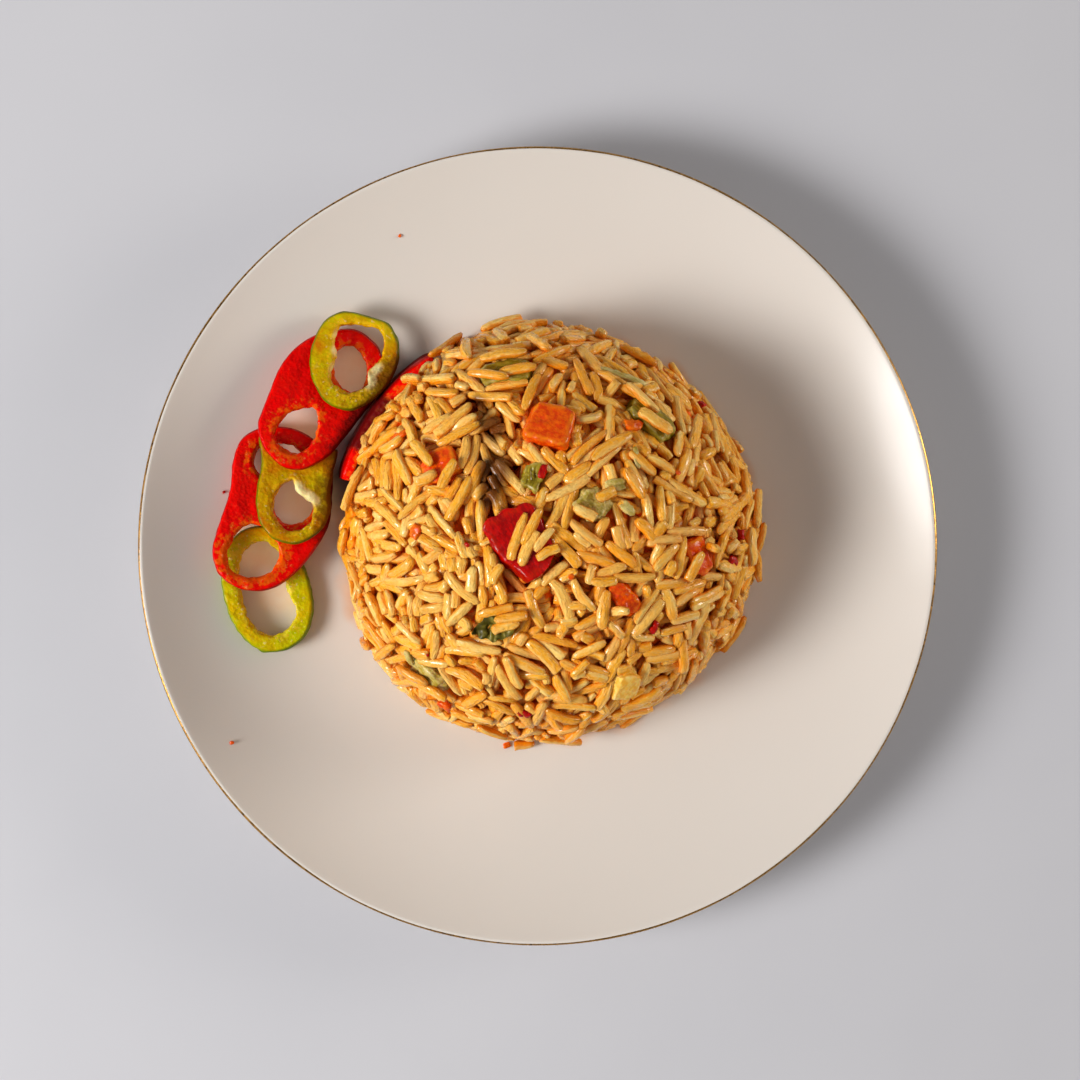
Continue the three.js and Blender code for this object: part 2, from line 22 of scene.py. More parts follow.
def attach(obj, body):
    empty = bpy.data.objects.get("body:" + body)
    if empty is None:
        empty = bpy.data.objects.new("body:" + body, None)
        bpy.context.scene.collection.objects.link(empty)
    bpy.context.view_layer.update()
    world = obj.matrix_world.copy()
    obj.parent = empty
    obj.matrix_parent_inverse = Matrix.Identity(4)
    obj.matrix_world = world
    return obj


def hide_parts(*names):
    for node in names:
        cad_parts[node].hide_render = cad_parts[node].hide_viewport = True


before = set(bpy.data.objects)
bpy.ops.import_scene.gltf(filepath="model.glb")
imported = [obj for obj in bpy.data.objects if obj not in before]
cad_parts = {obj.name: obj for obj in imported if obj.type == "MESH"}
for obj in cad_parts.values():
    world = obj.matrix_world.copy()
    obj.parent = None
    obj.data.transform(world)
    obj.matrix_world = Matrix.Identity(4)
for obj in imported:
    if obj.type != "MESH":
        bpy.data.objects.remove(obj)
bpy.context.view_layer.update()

LOG = logging.getLogger("plate_of_fried_rice")
Array = np.ndarray
Socket = bpy.types.NodeSocket
Tone = tuple[float, float, float, float]
Rows = tuple[tuple[float, ...], ...]

MM = 0.001  # one millimetre, in the scene's metres
BODY = "root"
TURN = 2.0 * math.pi


# ---------- small tools ----------
def tone(red: float, green: float, blue: float) -> Tone:
    """Turns a display colour into the linear one that shaders work in.

    Args:
        red: Red as seen on a display, from 0 to 255.
        green: Green, from 0 to 255.
        blue: Blue, from 0 to 255.

    Returns:
        The linear red, green and blue, with a full alpha.
    """
    shares = (value / 255.0 for value in (red, green, blue))
    linear = [s / 12.92 if s < 0.04045 else ((s + 0.055) / 1.055) ** 2.4 for s in shares]
    return (linear[0], linear[1], linear[2], 1.0)


def unit(vectors: Array) -> Array:
    """Scales each vector of an array to a length of one."""
    return vectors / np.maximum(np.linalg.norm(vectors, axis=-1, keepdims=True), 1e-12)


def ripple(points: Array, size: float, seed: int, waves: int = 10) -> Array:
    """Smooth unevenness: the sum of sine waves that cross the space in seeded directions.

    Args:
        points: Places to evaluate, in millimetres.
        size: Typical distance from one bump to the next.
        seed: Number that picks the waves.
        waves: How many waves are summed.

    Returns:
        A value for each point, mostly between -1 and 1.
    """
    random = np.random.default_rng(seed)
    directions = unit(random.normal(size=(waves, 3)))
    lengths = size * random.uniform(0.7, 1.5, waves)
    phases = random.uniform(0.0, TURN, waves)
    angles = points @ (directions / lengths[:, None]).T * TURN + phases
    return np.sin(angles).sum(axis=-1) / math.sqrt(waves)


def gathered(index: Array, vectors: Array, count: int) -> Array:
    """Sums the vectors that share an index, for each index up to count."""
    return np.stack([np.bincount(index, vectors[:, axis], count) for axis in range(3)], axis=1)


# ---------- meshes ----------
@dataclass
class Surface:
    """A mesh in the making.

    Attributes:
        points: Places of the vertices, in millimetres.
        quads: Faces with four corners, as rows of vertex numbers.
        triangles: Faces with three corners.
        layers: Named values, or vectors, one for each vertex, that the finishes read.
    """

    points: Array
    quads: Array = field(default_factory=lambda: np.zeros((0, 4), int))
    triangles: Array = field(default_factory=lambda: np.zeros((0, 3), int))
    layers: dict[str, Array] = field(default_factory=dict)

    @classmethod
    def over_grid(cls, places: Array, closed_rows: bool = False) -> Surface:
        """Joins a grid of places whose columns run round in a closed loop.

        Args:
            places: Rows by columns by three.
            closed_rows: Whether the last row also joins the first.

        Returns:
            The surface, open at its first and last row unless the rows are closed too.
        """
        rows, columns = places.shape[:2]
        numbers = np.arange(rows * columns).reshape(rows, columns)
        below = numbers if closed_rows else numbers[:-1]
        above = np.roll(numbers, -1, axis=0) if closed_rows else numbers[1:]
        corners = [below, above, np.roll(above, -1, axis=1), np.roll(below, -1, axis=1)]
        return cls(places.reshape(-1, 3), np.stack(corners, axis=-1).reshape(-1, 4))

    @classmethod
    def over_closed_grid(cls, places: Array) -> Surface:
        """Joins a grid of places and closes its first and last row, each with a point at its middle.

        Args:
            places: Rows by columns by three, with columns that run round in a closed loop.

        Returns:
            The closed surface.
        """
        rows, columns = places.shape[:2]
        surface = cls.over_grid(places)
        first = np.arange(columns)
        last = first + (rows - 1) * columns
        start, end = rows * columns, rows * columns + 1
        fans = [
            np.stack([np.full(columns, start), first, np.roll(first, -1)], axis=1),
            np.stack([np.full(columns, end), np.roll(last, -1), last], axis=1),
        ]
        poles = np.stack([places[0].mean(axis=0), places[-1].mean(axis=0)])
        surface.points = np.concatenate([surface.points, poles])
        surface.triangles = np.concatenate(fans)
        return surface

    @classmethod
    def joined(cls, surfaces: list[Surface]) -> Surface:
        """Puts several surfaces with the same layers into one."""
        starts = np.cumsum([0] + [len(s.points) for s in surfaces[:-1]])
        return cls(
            np.concatenate([s.points for s in surfaces]),
            np.concatenate([s.quads + start for s, start in zip(surfaces, starts)]),
            np.concatenate([s.triangles + start for s, start in zip(surfaces, starts)]),
            {name: np.concatenate([s.layers[name] for s in surfaces]) for name in surfaces[0].layers},
        )

    def welded(self) -> Surface:
        """Merges the points that lie in the same place, to a ten-thousandth of a millimetre."""
        keys = np.round(self.points, 4)
        _, kept, renumbered = np.unique(keys, axis=0, return_index=True, return_inverse=True)
        renumbered = renumbered.reshape(-1)
        layers = {name: values[kept] for name, values in self.layers.items()}
        return Surface(self.points[kept], renumbered[self.quads], renumbered[self.triangles], layers)

    def corners(self) -> Array:
        """Splits the quads and gives every triangle's vertex numbers."""
        return np.concatenate([self.quads[:, [0, 1, 2]], self.quads[:, [0, 2, 3]], self.triangles])

    def facing_out(self) -> Surface:
        """Turns every face of a closed surface over if it encloses a negative volume."""
        a, b, c = self.points[self.corners().T]
        if np.einsum("ij,ij->", a, np.cross(b, c)) < 0.0:
            self.quads = self.quads[:, ::-1]
            self.triangles = self.triangles[:, ::-1]
        return self

    def normals(self) -> Array:
        """Works out the outward direction at each vertex, as the sum of its faces' directions."""
        corners = self.corners()
        a, b, c = self.points[corners.T]
        ways = np.cross(b - a, c - a)
        return unit(gathered(corners.reshape(-1), np.repeat(ways, 3, axis=0), len(self.points)))

    def made(self, name: str, finish: Finish, replaced: tuple[str, ...] = ()) -> bpy.types.Object:
        """Writes the mesh, gives it its finish and lets it ride on the part.

        Args:
            name: The piece's name.
            finish: What it is made of.
            replaced: The solids that it stands for.

        Returns:
            The piece, at the origin, with its place in its mesh.
        """
        mesh = bpy.data.meshes.new(name)
        mesh.vertices.add(len(self.points))
        mesh.vertices.foreach_set("co", (self.points * MM).astype(np.float32).ravel())
        loops = np.concatenate([self.quads.ravel(), self.triangles.ravel()]).astype(np.int32)
        sizes = np.repeat([4, 3], [len(self.quads), len(self.triangles)])
        mesh.loops.add(len(loops))
        mesh.loops.foreach_set("vertex_index", loops)
        mesh.polygons.add(len(sizes))
        mesh.polygons.foreach_set("loop_start", (np.cumsum(sizes) - sizes).astype(np.int32))
        mesh.polygons.foreach_set("use_smooth", np.ones(len(sizes), bool))
        for layer, values in self.layers.items():
            kind, key = ("FLOAT", "value") if values.ndim == 1 else ("FLOAT_VECTOR", "vector")
            data = mesh.attributes.new(layer, kind, "POINT").data
            data.foreach_set(key, values.astype(np.float32).ravel())
        mesh.update(calc_edges=True)
        mesh.validate()
        mesh.materials.append(finish.material())
        piece = bpy.data.objects.new(name, mesh)
        bpy.context.scene.collection.objects.link(piece)
        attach(piece, BODY)
        if replaced:
            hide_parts(*replaced)
        LOG.info("%s: %d points, %d faces", name, len(self.points), len(sizes))
        return piece


def rounded_block(size: tuple[float, float, float], sharpness: float, rows: int, columns: int) -> Surface:
    """A block with rounded edges: each way out from the middle is as long as its power mean allows.

    A direction (x, y, z) is scaled by (|x|^k + |y|^k + |z|^k)^(-1/k), which is a ball at k = 2 and
    nears a cube as k grows, and then stretched to the block's half sizes.

    Args:
        size: Length, width and thickness.
        sharpness: The power k.
        rows: Rows from the lower to the upper pole.
        columns: Columns round.

    Returns:
        The closed surface round the origin.
    """
    fall = np.linspace(0.02, math.pi - 0.02, rows)[:, None]
    spin = np.linspace(0.0, TURN, columns, endpoint=False)[None, :]
    level = np.sin(fall)
    ways = np.stack([level * np.cos(spin), level * np.sin(spin), np.cos(fall) + 0 * spin], -1)
    reach = (np.abs(ways) ** sharpness).sum(axis=-1, keepdims=True) ** (-1.0 / sharpness)
    return Surface.over_closed_grid(ways * reach * np.array(size) / 2.0).facing_out()


# ---------- node trees ----------
@dataclass
class Bench:
    """A node tree with short ways to add and wire its nodes."""

    tree: bpy.types.NodeTree

    def add(self, kind: str, **settings: object) -> bpy.types.Node:
        """Adds a node and sets its properties."""
        node = self.tree.nodes.new(kind)
        for name, value in settings.items():
            setattr(node, name, value)
        return node

    def feed(self, socket: Socket, value: object) -> None:
        """Wires a socket to another, or sets its value."""
        if isinstance(value, Socket):
            self.tree.links.new(value, socket)
        else:
            socket.default_value = value

    def attribute(self, name: str, vector: bool = False) -> Socket:
        """Reads a layer of the mesh."""
        node = self.add("ShaderNodeAttribute", attribute_name=name)
        return node.outputs["Vector" if vector else "Fac"]

    def place(self) -> Socket:
        """Reads the place on the piece, in metres."""
        return self.add("ShaderNodeTexCoord").outputs["Object"]

    def stretched(self, vector: Socket, scale: tuple[float, float, float]) -> Socket:
        """Scales a vector by a different share along each axis."""
        node = self.add("ShaderNodeMapping", vector_type="POINT")
        self.feed(node.inputs["Vector"], vector)
        self.feed(node.inputs["Scale"], scale)
        return node.outputs["Vector"]

    def noise(self, vector: object, scale: object, detail: float = 3.0, rough: float = 0.5) -> Socket:
        """Cloudy noise round 0.5."""
        node = self.add("ShaderNodeTexNoise")
        self.feed(node.inputs["Vector"], vector)
        self.feed(node.inputs["Scale"], scale)
        self.feed(node.inputs["Detail"], detail)
        self.feed(node.inputs["Roughness"], rough)
        return node.outputs["Fac"]

    def cells(self, vector: object, scale: object) -> Socket:
        """Distance from the middle of the nearest cell of a random honeycomb."""
        node = self.add("ShaderNodeTexVoronoi", feature="F1")
        self.feed(node.inputs["Vector"], vector)
        self.feed(node.inputs["Scale"], scale)
        return node.outputs["Distance"]

    def ranged(self, value: object, low: float, high: float, start: float = 0.0, end: float = 1.0) -> Socket:
        """Maps a range of a value smoothly to another range, and holds it there outside."""
        node = self.add("ShaderNodeMapRange", interpolation_type="SMOOTHSTEP")
        names = ("Value", "From Min", "From Max", "To Min", "To Max")
        for name, item in zip(names, (value, low, high, start, end)):
            self.feed(node.inputs[name], item)
        return node.outputs["Result"]

    def maths(self, operation: str, first: object, second: object) -> Socket:
        """Combines two values."""
        node = self.add("ShaderNodeMath", operation=operation)
        self.feed(node.inputs[0], first)
        self.feed(node.inputs[1], second)
        return node.outputs["Value"]

    def times(self, first: object, second: object) -> Socket:
        """Multiplies two values."""
        return self.maths("MULTIPLY", first, second)

    def plus(self, first: object, second: object) -> Socket:
        """Adds two values."""
        return self.maths("ADD", first, second)

    def mixed(self, share: object, first: object, second: object) -> Socket:
        """Mixes two colours by a share."""
        node = self.add("ShaderNodeMix", data_type="RGBA", blend_type="MIX")
        self.feed(node.inputs["Factor"], share)
        self.feed(node.inputs[6], first)
        self.feed(node.inputs[7], second)
        return node.outputs[2]

    def layered(self, base: object, *coats: tuple[object, Tone]) -> Socket:
        """Lays colours over a base in turn, each by its own share.

        Args:
            base: The colour underneath.
            coats: Pairs of a share and a colour.

        Returns:
            The colour that shows.
        """
        for share, colour in coats:
            base = self.mixed(share, base, colour)
        return base

    def wire(self, shader: bpy.types.Node, values: dict[str, object]) -> None:
        """Feeds the shader's sockets: by a wire where the value changes over the surface."""
        for name, value in values.items():
            self.feed(shader.inputs[name], value)

    def bump(self, height: object, distance: float, strength: float = 1.0, normal: object = None) -> Socket:
        """Turns a height into a normal; distance is the height of 1, in metres."""
        node = self.add("ShaderNodeBump")
        self.feed(node.inputs["Height"], height)
        self.feed(node.inputs["Distance"], distance)
        self.feed(node.inputs["Strength"], strength)
        if normal is not None:
            self.feed(node.inputs["Normal"], normal)
        return node.outputs["Normal"]


@dataclass(frozen=True)
class Effect:
    """A pattern that several finishes share, kept as one shader node group.

    Attributes:
        name: The group's name.
        outputs: Names of the values that it puts out.
    """

    name: str
    outputs: tuple[str, ...]

    def draw(self, bench: Bench, vector: Socket, scale: Socket) -> list:
        """Adds the pattern's nodes and gives the outputs in order."""
        raise NotImplementedError

    def group(self) -> bpy.types.NodeTree:
        """Finds the group, or makes it with a vector and a scale as its inputs."""
        found = bpy.data.node_groups.get(self.name)
        if found is not None:
            return found
        tree = bpy.data.node_groups.new(self.name, "ShaderNodeTree")
        tree.interface.new_socket("Vector", in_out="INPUT", socket_type="NodeSocketVector")
        tree.interface.new_socket("Scale", in_out="INPUT", socket_type="NodeSocketFloat")
        for name in self.outputs:
            tree.interface.new_socket(name, in_out="OUTPUT", socket_type="NodeSocketFloat")
        bench = Bench(tree)
        start, end = bench.add("NodeGroupInput"), bench.add("NodeGroupOutput")
        drawn = self.draw(bench, start.outputs["Vector"], start.outputs["Scale"])
        for socket, value in zip(end.inputs, drawn):
            bench.feed(socket, value)
        return tree

    def on(self, bench: Bench, vector: Socket, scale: float) -> dict[str, Socket]:
        """Places the group in a material and gives its outputs by name."""
        node = bench.add("ShaderNodeGroup", node_tree=self.group())
        bench.feed(node.inputs["Vector"], vector)
        bench.feed(node.inputs["Scale"], scale)
        return {name: node.outputs[name] for name in self.outputs}


class SoftFlesh(Effect):
    """Plant tissue: broad patches of riper colour, and the small cells that a knife opens."""

    def draw(self, bench: Bench, vector: Socket, scale: Socket) -> list:
        """Adds the patches, the cells and the flecks between them."""
        patches = bench.ranged(bench.noise(vector, scale, 4.0, 0.6), 0.36, 0.66)
        cells = bench.cells(vector, bench.times(scale, 5.0))
        flecks = bench.ranged(bench.noise(vector, bench.times(scale, 9.0), 2.0), 0.56, 0.72)
        return [patches, cells, flecks]


class OilyFilm(Effect):
    """A thin uneven film of oil or water: where it pools the surface is smoother and stands higher."""

    def draw(self, bench: Bench, vector: Socket, scale: Socket) -> list:
        """Adds the pools and the height of the film."""
        cloud = bench.noise(vector, scale, 3.0, 0.55)
        pools = bench.ranged(cloud, 0.4, 0.62)
        return [pools, cloud]


SOFT_FLESH = SoftFlesh("soft_flesh", ("Patches", "Cells", "Flecks"))
OILY_FILM = OilyFilm("oily_film", ("Pools", "Height"))


# ---------- finishes ----------
@dataclass(frozen=True)
class Finish:
    """What a piece is made of.

    Attributes:
        name: The material's name.
        slot: The record's material slot that it belongs to; it is not used.
    """

    name: str
    slot: str

    def dress(self, bench: Bench, shader: bpy.types.Node) -> None:
        """Adds the nodes that give the shader its colour, roughness and relief."""
        raise NotImplementedError

    def material(self) -> bpy.types.Material:
        """Finds the material, or makes it."""
        label = f"{self.name}_finish"
        found = bpy.data.materials.get(label)
        if found is not None:
            return found
        made = bpy.data.materials.new(label)
        made.use_nodes = True
        self.dress(Bench(made.node_tree), made.node_tree.nodes["Principled BSDF"])
        return made


@dataclass(frozen=True)
class Porcelain(Finish):
    """Cream porcelain under a clear glossy glaze, with a faint film of oil near the food, painted warm light
    and a painted glow under the pepper slices, and painted shade beside the heap.
    """

    body: Tone = tone(228, 221, 213)
    shade: Tone = tone(223, 215, 206)
    # the oil's colour, also used for painted warm light under the slices
    stain: Tone = tone(222, 168, 120)
    # painted shade: dark red on the glaze in the gap beside the heap
    wept: Tone = tone(84, 14, 2)
    # painted glow: the glaze under the slices gives off light, for light that comes through them
    glow: Tone = tone(171, 138, 97)
    glow_strength: float = 0.4

    def dress(self, bench: Bench, shader: bpy.types.Node) -> None:
        """Mixes two creams by clouds, then oil with painted warm light, then painted shade, and paints a
        glow under the slices.

        Args:
            bench: The material's node tree.
            shader: The material's shader.
        """
        place = bench.place()
        film = OILY_FILM.on(bench, place, 90.0)
        # oil near the heap, and painted warm light under the slices
        oil_and_warmth_share = bench.times(bench.attribute("oiled"), bench.ranged(film["Height"], 0.3, 0.7, 0.25, 1.0))
        bench.wire(shader, {
            "Base Color": bench.layered(
                self.body,
                (bench.noise(place, 14.0, 2.0), self.shade),
                (oil_and_warmth_share, self.stain),
                # painted shade beside the heap
                (bench.attribute("wept"), self.wept),
            ),
            "Roughness": bench.ranged(bench.noise(place, 55.0, 2.0), 0.3, 0.7, 0.17, 0.24),
            "Normal": bench.bump(bench.noise(place, 160.0, 2.0), 0.00002, 0.6),
            # painted glow under the slices
            "Emission Color": bench.mixed(bench.attribute("lit"), tone(0, 0, 0), self.glow),
            "Emission Strength": self.glow_strength,
            "Specular IOR Level": 0.3,
        })


@dataclass(frozen=True)
class Gilding(Finish):
    """A brushed-on line of gold, thin and worn in places."""

    gold: Tone = tone(196, 148, 78)
    worn: Tone = tone(120, 84, 44)

    def dress(self, bench: Bench, shader: bpy.types.Node) -> None:
        """Mixes the gold with its worn tone by fine noise."""
        place = bench.place()
        wear = bench.ranged(bench.noise(place, 900.0, 4.0, 0.7), 0.5, 0.66)
        bench.wire(shader, {
            "Base Color": bench.mixed(wear, self.gold, self.worn),
            "Roughness": bench.ranged(bench.noise(place, 400.0), 0.3, 0.7, 0.16, 0.34),
            "Metallic": 1.0,
        })


@dataclass(frozen=True)
class CookedRice(Finish):
    """Golden cooked rice: pale on the backs of the grains, deeper at their flanks and down in the heap; the
    pale is partly painted highlight, the deeper colour partly painted shade.
    """

    golden: Tone = tone(255, 177, 38)
    # pale: the grains' own lighter tone, and also painted highlight along them
    pale: Tone = tone(255, 214, 122)
    # amber: the grains' own deeper tone, and also painted shade on their flanks
    amber: Tone = tone(246, 140, 0)
    # down in the heap: partly sauce, partly painted shade
    sauce_and_shade: Tone = tone(230, 88, 0)
    # in the crevices: brown grains darkened with painted shade
    stained: Tone = tone(100, 38, 0)

    def dress(self, bench: Bench, shader: bpy.types.Node) -> None:
        """Lays the tones over each other by streaks, tint, clouds, flanks, depth and crevices, with painted
        highlight in the streaks and painted shade on the flanks, in the depths and crevices.

        Args:
            bench: The material's node tree.
            shader: The material's shader.
        """
        own = bench.attribute("grain_space", vector=True)
        tint, depth, stain = (bench.attribute(name) for name in ("tint", "depth", "stain"))
        streaks = bench.noise(bench.stretched(own, (0.35, 2.2, 2.2)), 1.0, 2.0, 0.6)
        fine = bench.noise(bench.stretched(own, (0.8, 2.0, 2.0)), 1.3, 2.0, 0.7)
        specks = bench.noise(bench.stretched(own, (0.6, 1.2, 1.2)), 1.1, 1.0)
        clouds = bench.noise(own, 0.22, 1.0)
        drift = bench.noise(bench.place(), 44.0, 1.0)
        # pale lines along the grains: partly their own tone, partly painted highlight
        lines = bench.ranged(bench.attribute("streak"), 0.5, 0.8, 0.0, 0.7)
        lines = bench.plus(lines, bench.ranged(streaks, 0.46, 0.62, 0.0, 0.35))
        lines = bench.plus(lines, bench.ranged(fine, 0.5, 0.64, 0.0, 0.3))
        # painted shade on the flanks that turn away from the heap's outside, partly oil gathered there
        flank = bench.plus(bench.attribute("flank"), bench.ranged(streaks, 0.4, 0.62, 0.1, -0.1))
        shine = bench.ranged(specks, 0.45, 0.6, 0.1, 1.0)
        shine = bench.times(shine, bench.ranged(depth, 3.5, 0.5, 0.2, 1.0))
        bench.wire(shader, {
            "Base Color": bench.layered(
                self.golden,
                (lines, self.pale),
                (bench.ranged(tint, 0.65, 0.95, 0.0, 0.4), self.pale),
                (bench.ranged(tint, 0.3, 0.05, 0.0, 0.3), self.amber),
                (bench.ranged(clouds, 0.46, 0.66, 0.0, 0.3), self.amber),
                (bench.ranged(drift, 0.5, 0.66, 0.0, 0.2), self.amber),
                (bench.ranged(flank, 0.16, 0.5, 0.0, 0.85), self.amber),
                # painted shade deep in the heap, partly sauce
                (bench.ranged(depth, 0.8, 4.5), self.sauce_and_shade),
                # painted shade in the crevices, with brown grains there
                (bench.ranged(stain, 0.35, 0.9, 0.0, 0.9), self.stained),
            ),
            "Roughness": bench.ranged(specks, 0.4, 0.62, 0.36, 0.16),
            "Normal": bench.bump(fine, 0.0004, 0.9, bench.bump(streaks, 0.0006, 0.9)),
            "Specular IOR Level": 0.12,
            "Coat Weight": bench.times(shine, bench.ranged(stain, 0.3, 0.9, 1.0, 0.5)),
            "Coat Roughness": 0.1,
        })


@dataclass(frozen=True)
class RiceCore(Finish):
    """What fills the gaps between the grains: orange where they are shallow, and dark brown painted shade
    further down.
    """

    brown: Tone = tone(246, 108, 0)
    # painted shade far down in the gaps
    dark: Tone = tone(132, 24, 0)

    def dress(self, bench: Bench, shader: bpy.types.Node) -> None:
        """Mixes two browns by the gap's depth, which paints the shade, and grain-sized noise."""
        lumps = bench.noise(bench.place(), 330.0, 3.0)
        deep_shade = bench.ranged(bench.attribute("depth"), 3.0, 6.5)
        deep_shade = bench.plus(deep_shade, bench.ranged(lumps, 0.55, 0.4, 0.0, 0.3))
        bench.wire(shader, {
            "Base Color": bench.mixed(deep_shade, self.brown, self.dark),
            "Roughness": bench.ranged(lumps, 0.3, 0.7, 0.6, 0.4),
            "Normal": bench.bump(lumps, 0.001, 0.6),
            "Specular IOR Level": 0.15,
        })


@dataclass(frozen=True)
class RawPepper(Finish):
    """A raw pepper's cut: skin, a bright wall under it, and a paler or warmer lining at the seed chambers.

    The mesh gives each point's distance from the skin and from the nearest chamber, in millimetres, how
    near it is to a tag of pale pith, and how much painted shade lies on it from the rice beside it.
    """

    skin: Tone = tone(176, 0, 0)
    wall: Tone = tone(248, 0, 0)
    ripe: Tone = tone(242, 24, 0)
    lining: Tone = tone(244, 92, 4)
    # pith: pale tags of pith, and also small painted glints near the chambers
    pith: Tone = tone(252, 150, 90)
    # painted shade on the side turned to the heap, and on the strip where rice hangs over it and low down
    soaked: Tone = tone(76, 0, 0)
    skin_depth: float = 0.6
    lining_depth: float = 2.6
    patch_share: float = 0.4

    def dress(self, bench: Bench, shader: bpy.types.Node) -> None:
        """Lays wall, patches, lining, pith and painted glints, skin and painted shade over each other by
        distance.

        Args:
            bench: The material's node tree.
            shader: The material's shader.
        """
        place = bench.place()
        flesh = SOFT_FLESH.on(bench, place, 170.0)
        film = OILY_FILM.on(bench, place, 240.0)
        broad = bench.noise(place, 48.0, 2.0)
        ragged = bench.noise(place, 620.0, 3.0, 0.6)
        from_skin, wavy = bench.attribute("from_skin"), bench.attribute("from_chamber")
        ripe = bench.times(bench.plus(flesh["Patches"], bench.ranged(broad, 0.44, 0.6)), 0.5)
        wavy = bench.plus(wavy, bench.ranged(broad, 0.4, 0.6, -1.0, 0.9))
        wavy = bench.plus(wavy, bench.ranged(flesh["Patches"], 0.0, 1.0, -0.3, 0.4))
        wavy = bench.plus(wavy, bench.ranged(ragged, 0.38, 0.62, -1.5, 1.5))
        # painted glints: small pale specks near the chambers
        specks = bench.ranged(bench.noise(place, 900.0, 2.0), 0.62, 0.7)
        specks = bench.times(specks, bench.ranged(wavy, 4.5, 0.0, 0.05, 0.5))
        pith_and_glints = bench.maths("MAXIMUM", bench.ranged(bench.attribute("pith"), 0.1, 0.7), specks)
        # painted shade where the heap is near, with ragged edges
        wet = bench.plus(bench.attribute("soaked"), bench.ranged(ragged, 0.4, 0.6, -0.12, 0.12))
        rough = bench.ranged(film["Pools"], 0.0, 1.0, 0.28, 0.14)
        rough = bench.plus(rough, bench.ranged(from_skin, 0.5, 0.0, 0.0, 0.2))
        height = bench.plus(flesh["Cells"], film["Height"])
        height = bench.times(height, bench.ranged(from_skin, 0.1, 0.5))
        height = bench.plus(height, bench.plus(specks, ragged))
        bench.wire(shader, {
            "Base Color": bench.layered(
                self.wall,
                (bench.times(ripe, self.patch_share), self.ripe),
                (bench.ranged(wavy, self.lining_depth, 0.0), self.lining),
                (pith_and_glints, self.pith),
                (bench.ranged(from_skin, self.skin_depth, 0.0), self.skin),
                (bench.ranged(wet, 0.1, 1.0, 0.0, 0.9), self.soaked),
            ),
            "Roughness": bench.plus(rough, bench.ranged(wet, 0.2, 1.0, 0.0, 0.3)),
            "Normal": bench.bump(height, 0.00022, 0.8),
            "Specular IOR Level": 0.12,
            "Subsurface Weight": 0.2,
            "Subsurface Radius": (1.0, 0.3, 0.05),
            "Subsurface Scale": 0.0015,
        })


@dataclass(frozen=True)
class CookedDice(Finish):
    """Soft cooked flesh with knife-cut faces: patches of two tones, and paler worn edges.

    The mesh gives how near each point is to an edge of its block.
    """

    main: Tone = tone(222, 64, 0)
    patch: Tone = tone(238, 96, 0)
    edge: Tone = tone(252, 168, 30)
    flecks: Tone = tone(208, 46, 0)
    patch_size: float = 260.0
    edge_share: float = 0.55
    streaked: float = 0.8  # how much the patches are drawn out along the piece, less than 1 for longer

    def dress(self, bench: Bench, shader: bpy.types.Node) -> None:
        """Lays the tones over each other by fibres, flecks and the block's edges.

        Args:
            bench: The material's node tree.
            shader: The material's shader.
        """
        place = bench.place()
        flesh = SOFT_FLESH.on(bench, place, self.patch_size)
        film = OILY_FILM.on(bench, place, 300.0)
        own = bench.stretched(bench.attribute("own", vector=True), (self.streaked, 1.0, 1.0))
        fibres = bench.noise(own, 0.9, 3.0, 0.6)
        worn = bench.times(bench.attribute("edge"), bench.ranged(film["Height"], 0.35, 0.6))
        height = bench.plus(flesh["Cells"], bench.plus(film["Height"], fibres))
        bench.wire(shader, {
            "Base Color": bench.layered(
                self.main,
                (bench.ranged(fibres, 0.4, 0.62), self.patch),
                (bench.times(flesh["Flecks"], 0.35), self.flecks),
                (bench.times(worn, self.edge_share), self.edge),
            ),
            "Roughness": bench.ranged(film["Pools"], 0.0, 1.0, 0.36, 0.16),
            "Normal": bench.bump(height, 0.00014, 0.7),
            "Specular IOR Level": 0.15,
            "Subsurface Weight": 0.2,
            "Subsurface Radius": (1.0, 0.4, 0.1),
            "Subsurface Scale": 0.0012,
            "Coat Weight": 0.2,
            "Coat Roughness": 0.07,
        })


@dataclass(frozen=True)
class WiltedLeaf(Finish):
    """A dark wet herb leaf, lighter along its veins."""

    blade: Tone = tone(64, 58, 6)
    light: Tone = tone(136, 122, 44)

    def dress(self, bench: Bench, shader: bpy.types.Node) -> None:
        """Mixes the blade's dark with its lighter veins by the piece's own layer."""
        film = OILY_FILM.on(bench, bench.place(), 500.0)
        veins = bench.times(bench.attribute("vein"), bench.ranged(film["Height"], 0.3, 0.6))
        bench.wire(shader, {
            "Base Color": bench.mixed(veins, self.blade, self.light),
            "Roughness": bench.ranged(film["Pools"], 0.0, 1.0, 0.45, 0.2),
            "Normal": bench.bump(film["Height"], 0.0003, 0.7),
            "Specular IOR Level": 0.15,
        })


@dataclass(frozen=True)
class PaleTable(Finish):
    """The plain pale surface under the plate."""

    light: Tone = tone(208, 208, 213)
    dark: Tone = tone(200, 200, 206)

    def dress(self, bench: Bench, shader: bpy.types.Node) -> None:
        """Mixes two pale greys by broad clouds."""
        place = bench.place()
        bench.wire(shader, {
            "Base Color": bench.mixed(bench.noise(place, 9.0, 2.0), self.light, self.dark),
            "Roughness": bench.ranged(bench.noise(place, 40.0, 1.0), 0.3, 0.7, 0.6, 0.75),
        })


PORCELAIN = Porcelain("porcelain", "plate_glaze")
GILDING = Gilding("gilding", "gilding")
RICE = CookedRice("cooked_rice", "cooked_rice")
RICE_CORE = RiceCore("rice_core", "cooked_rice")
RED_PEPPER = RawPepper("red_pepper", "red_pepper_flesh")
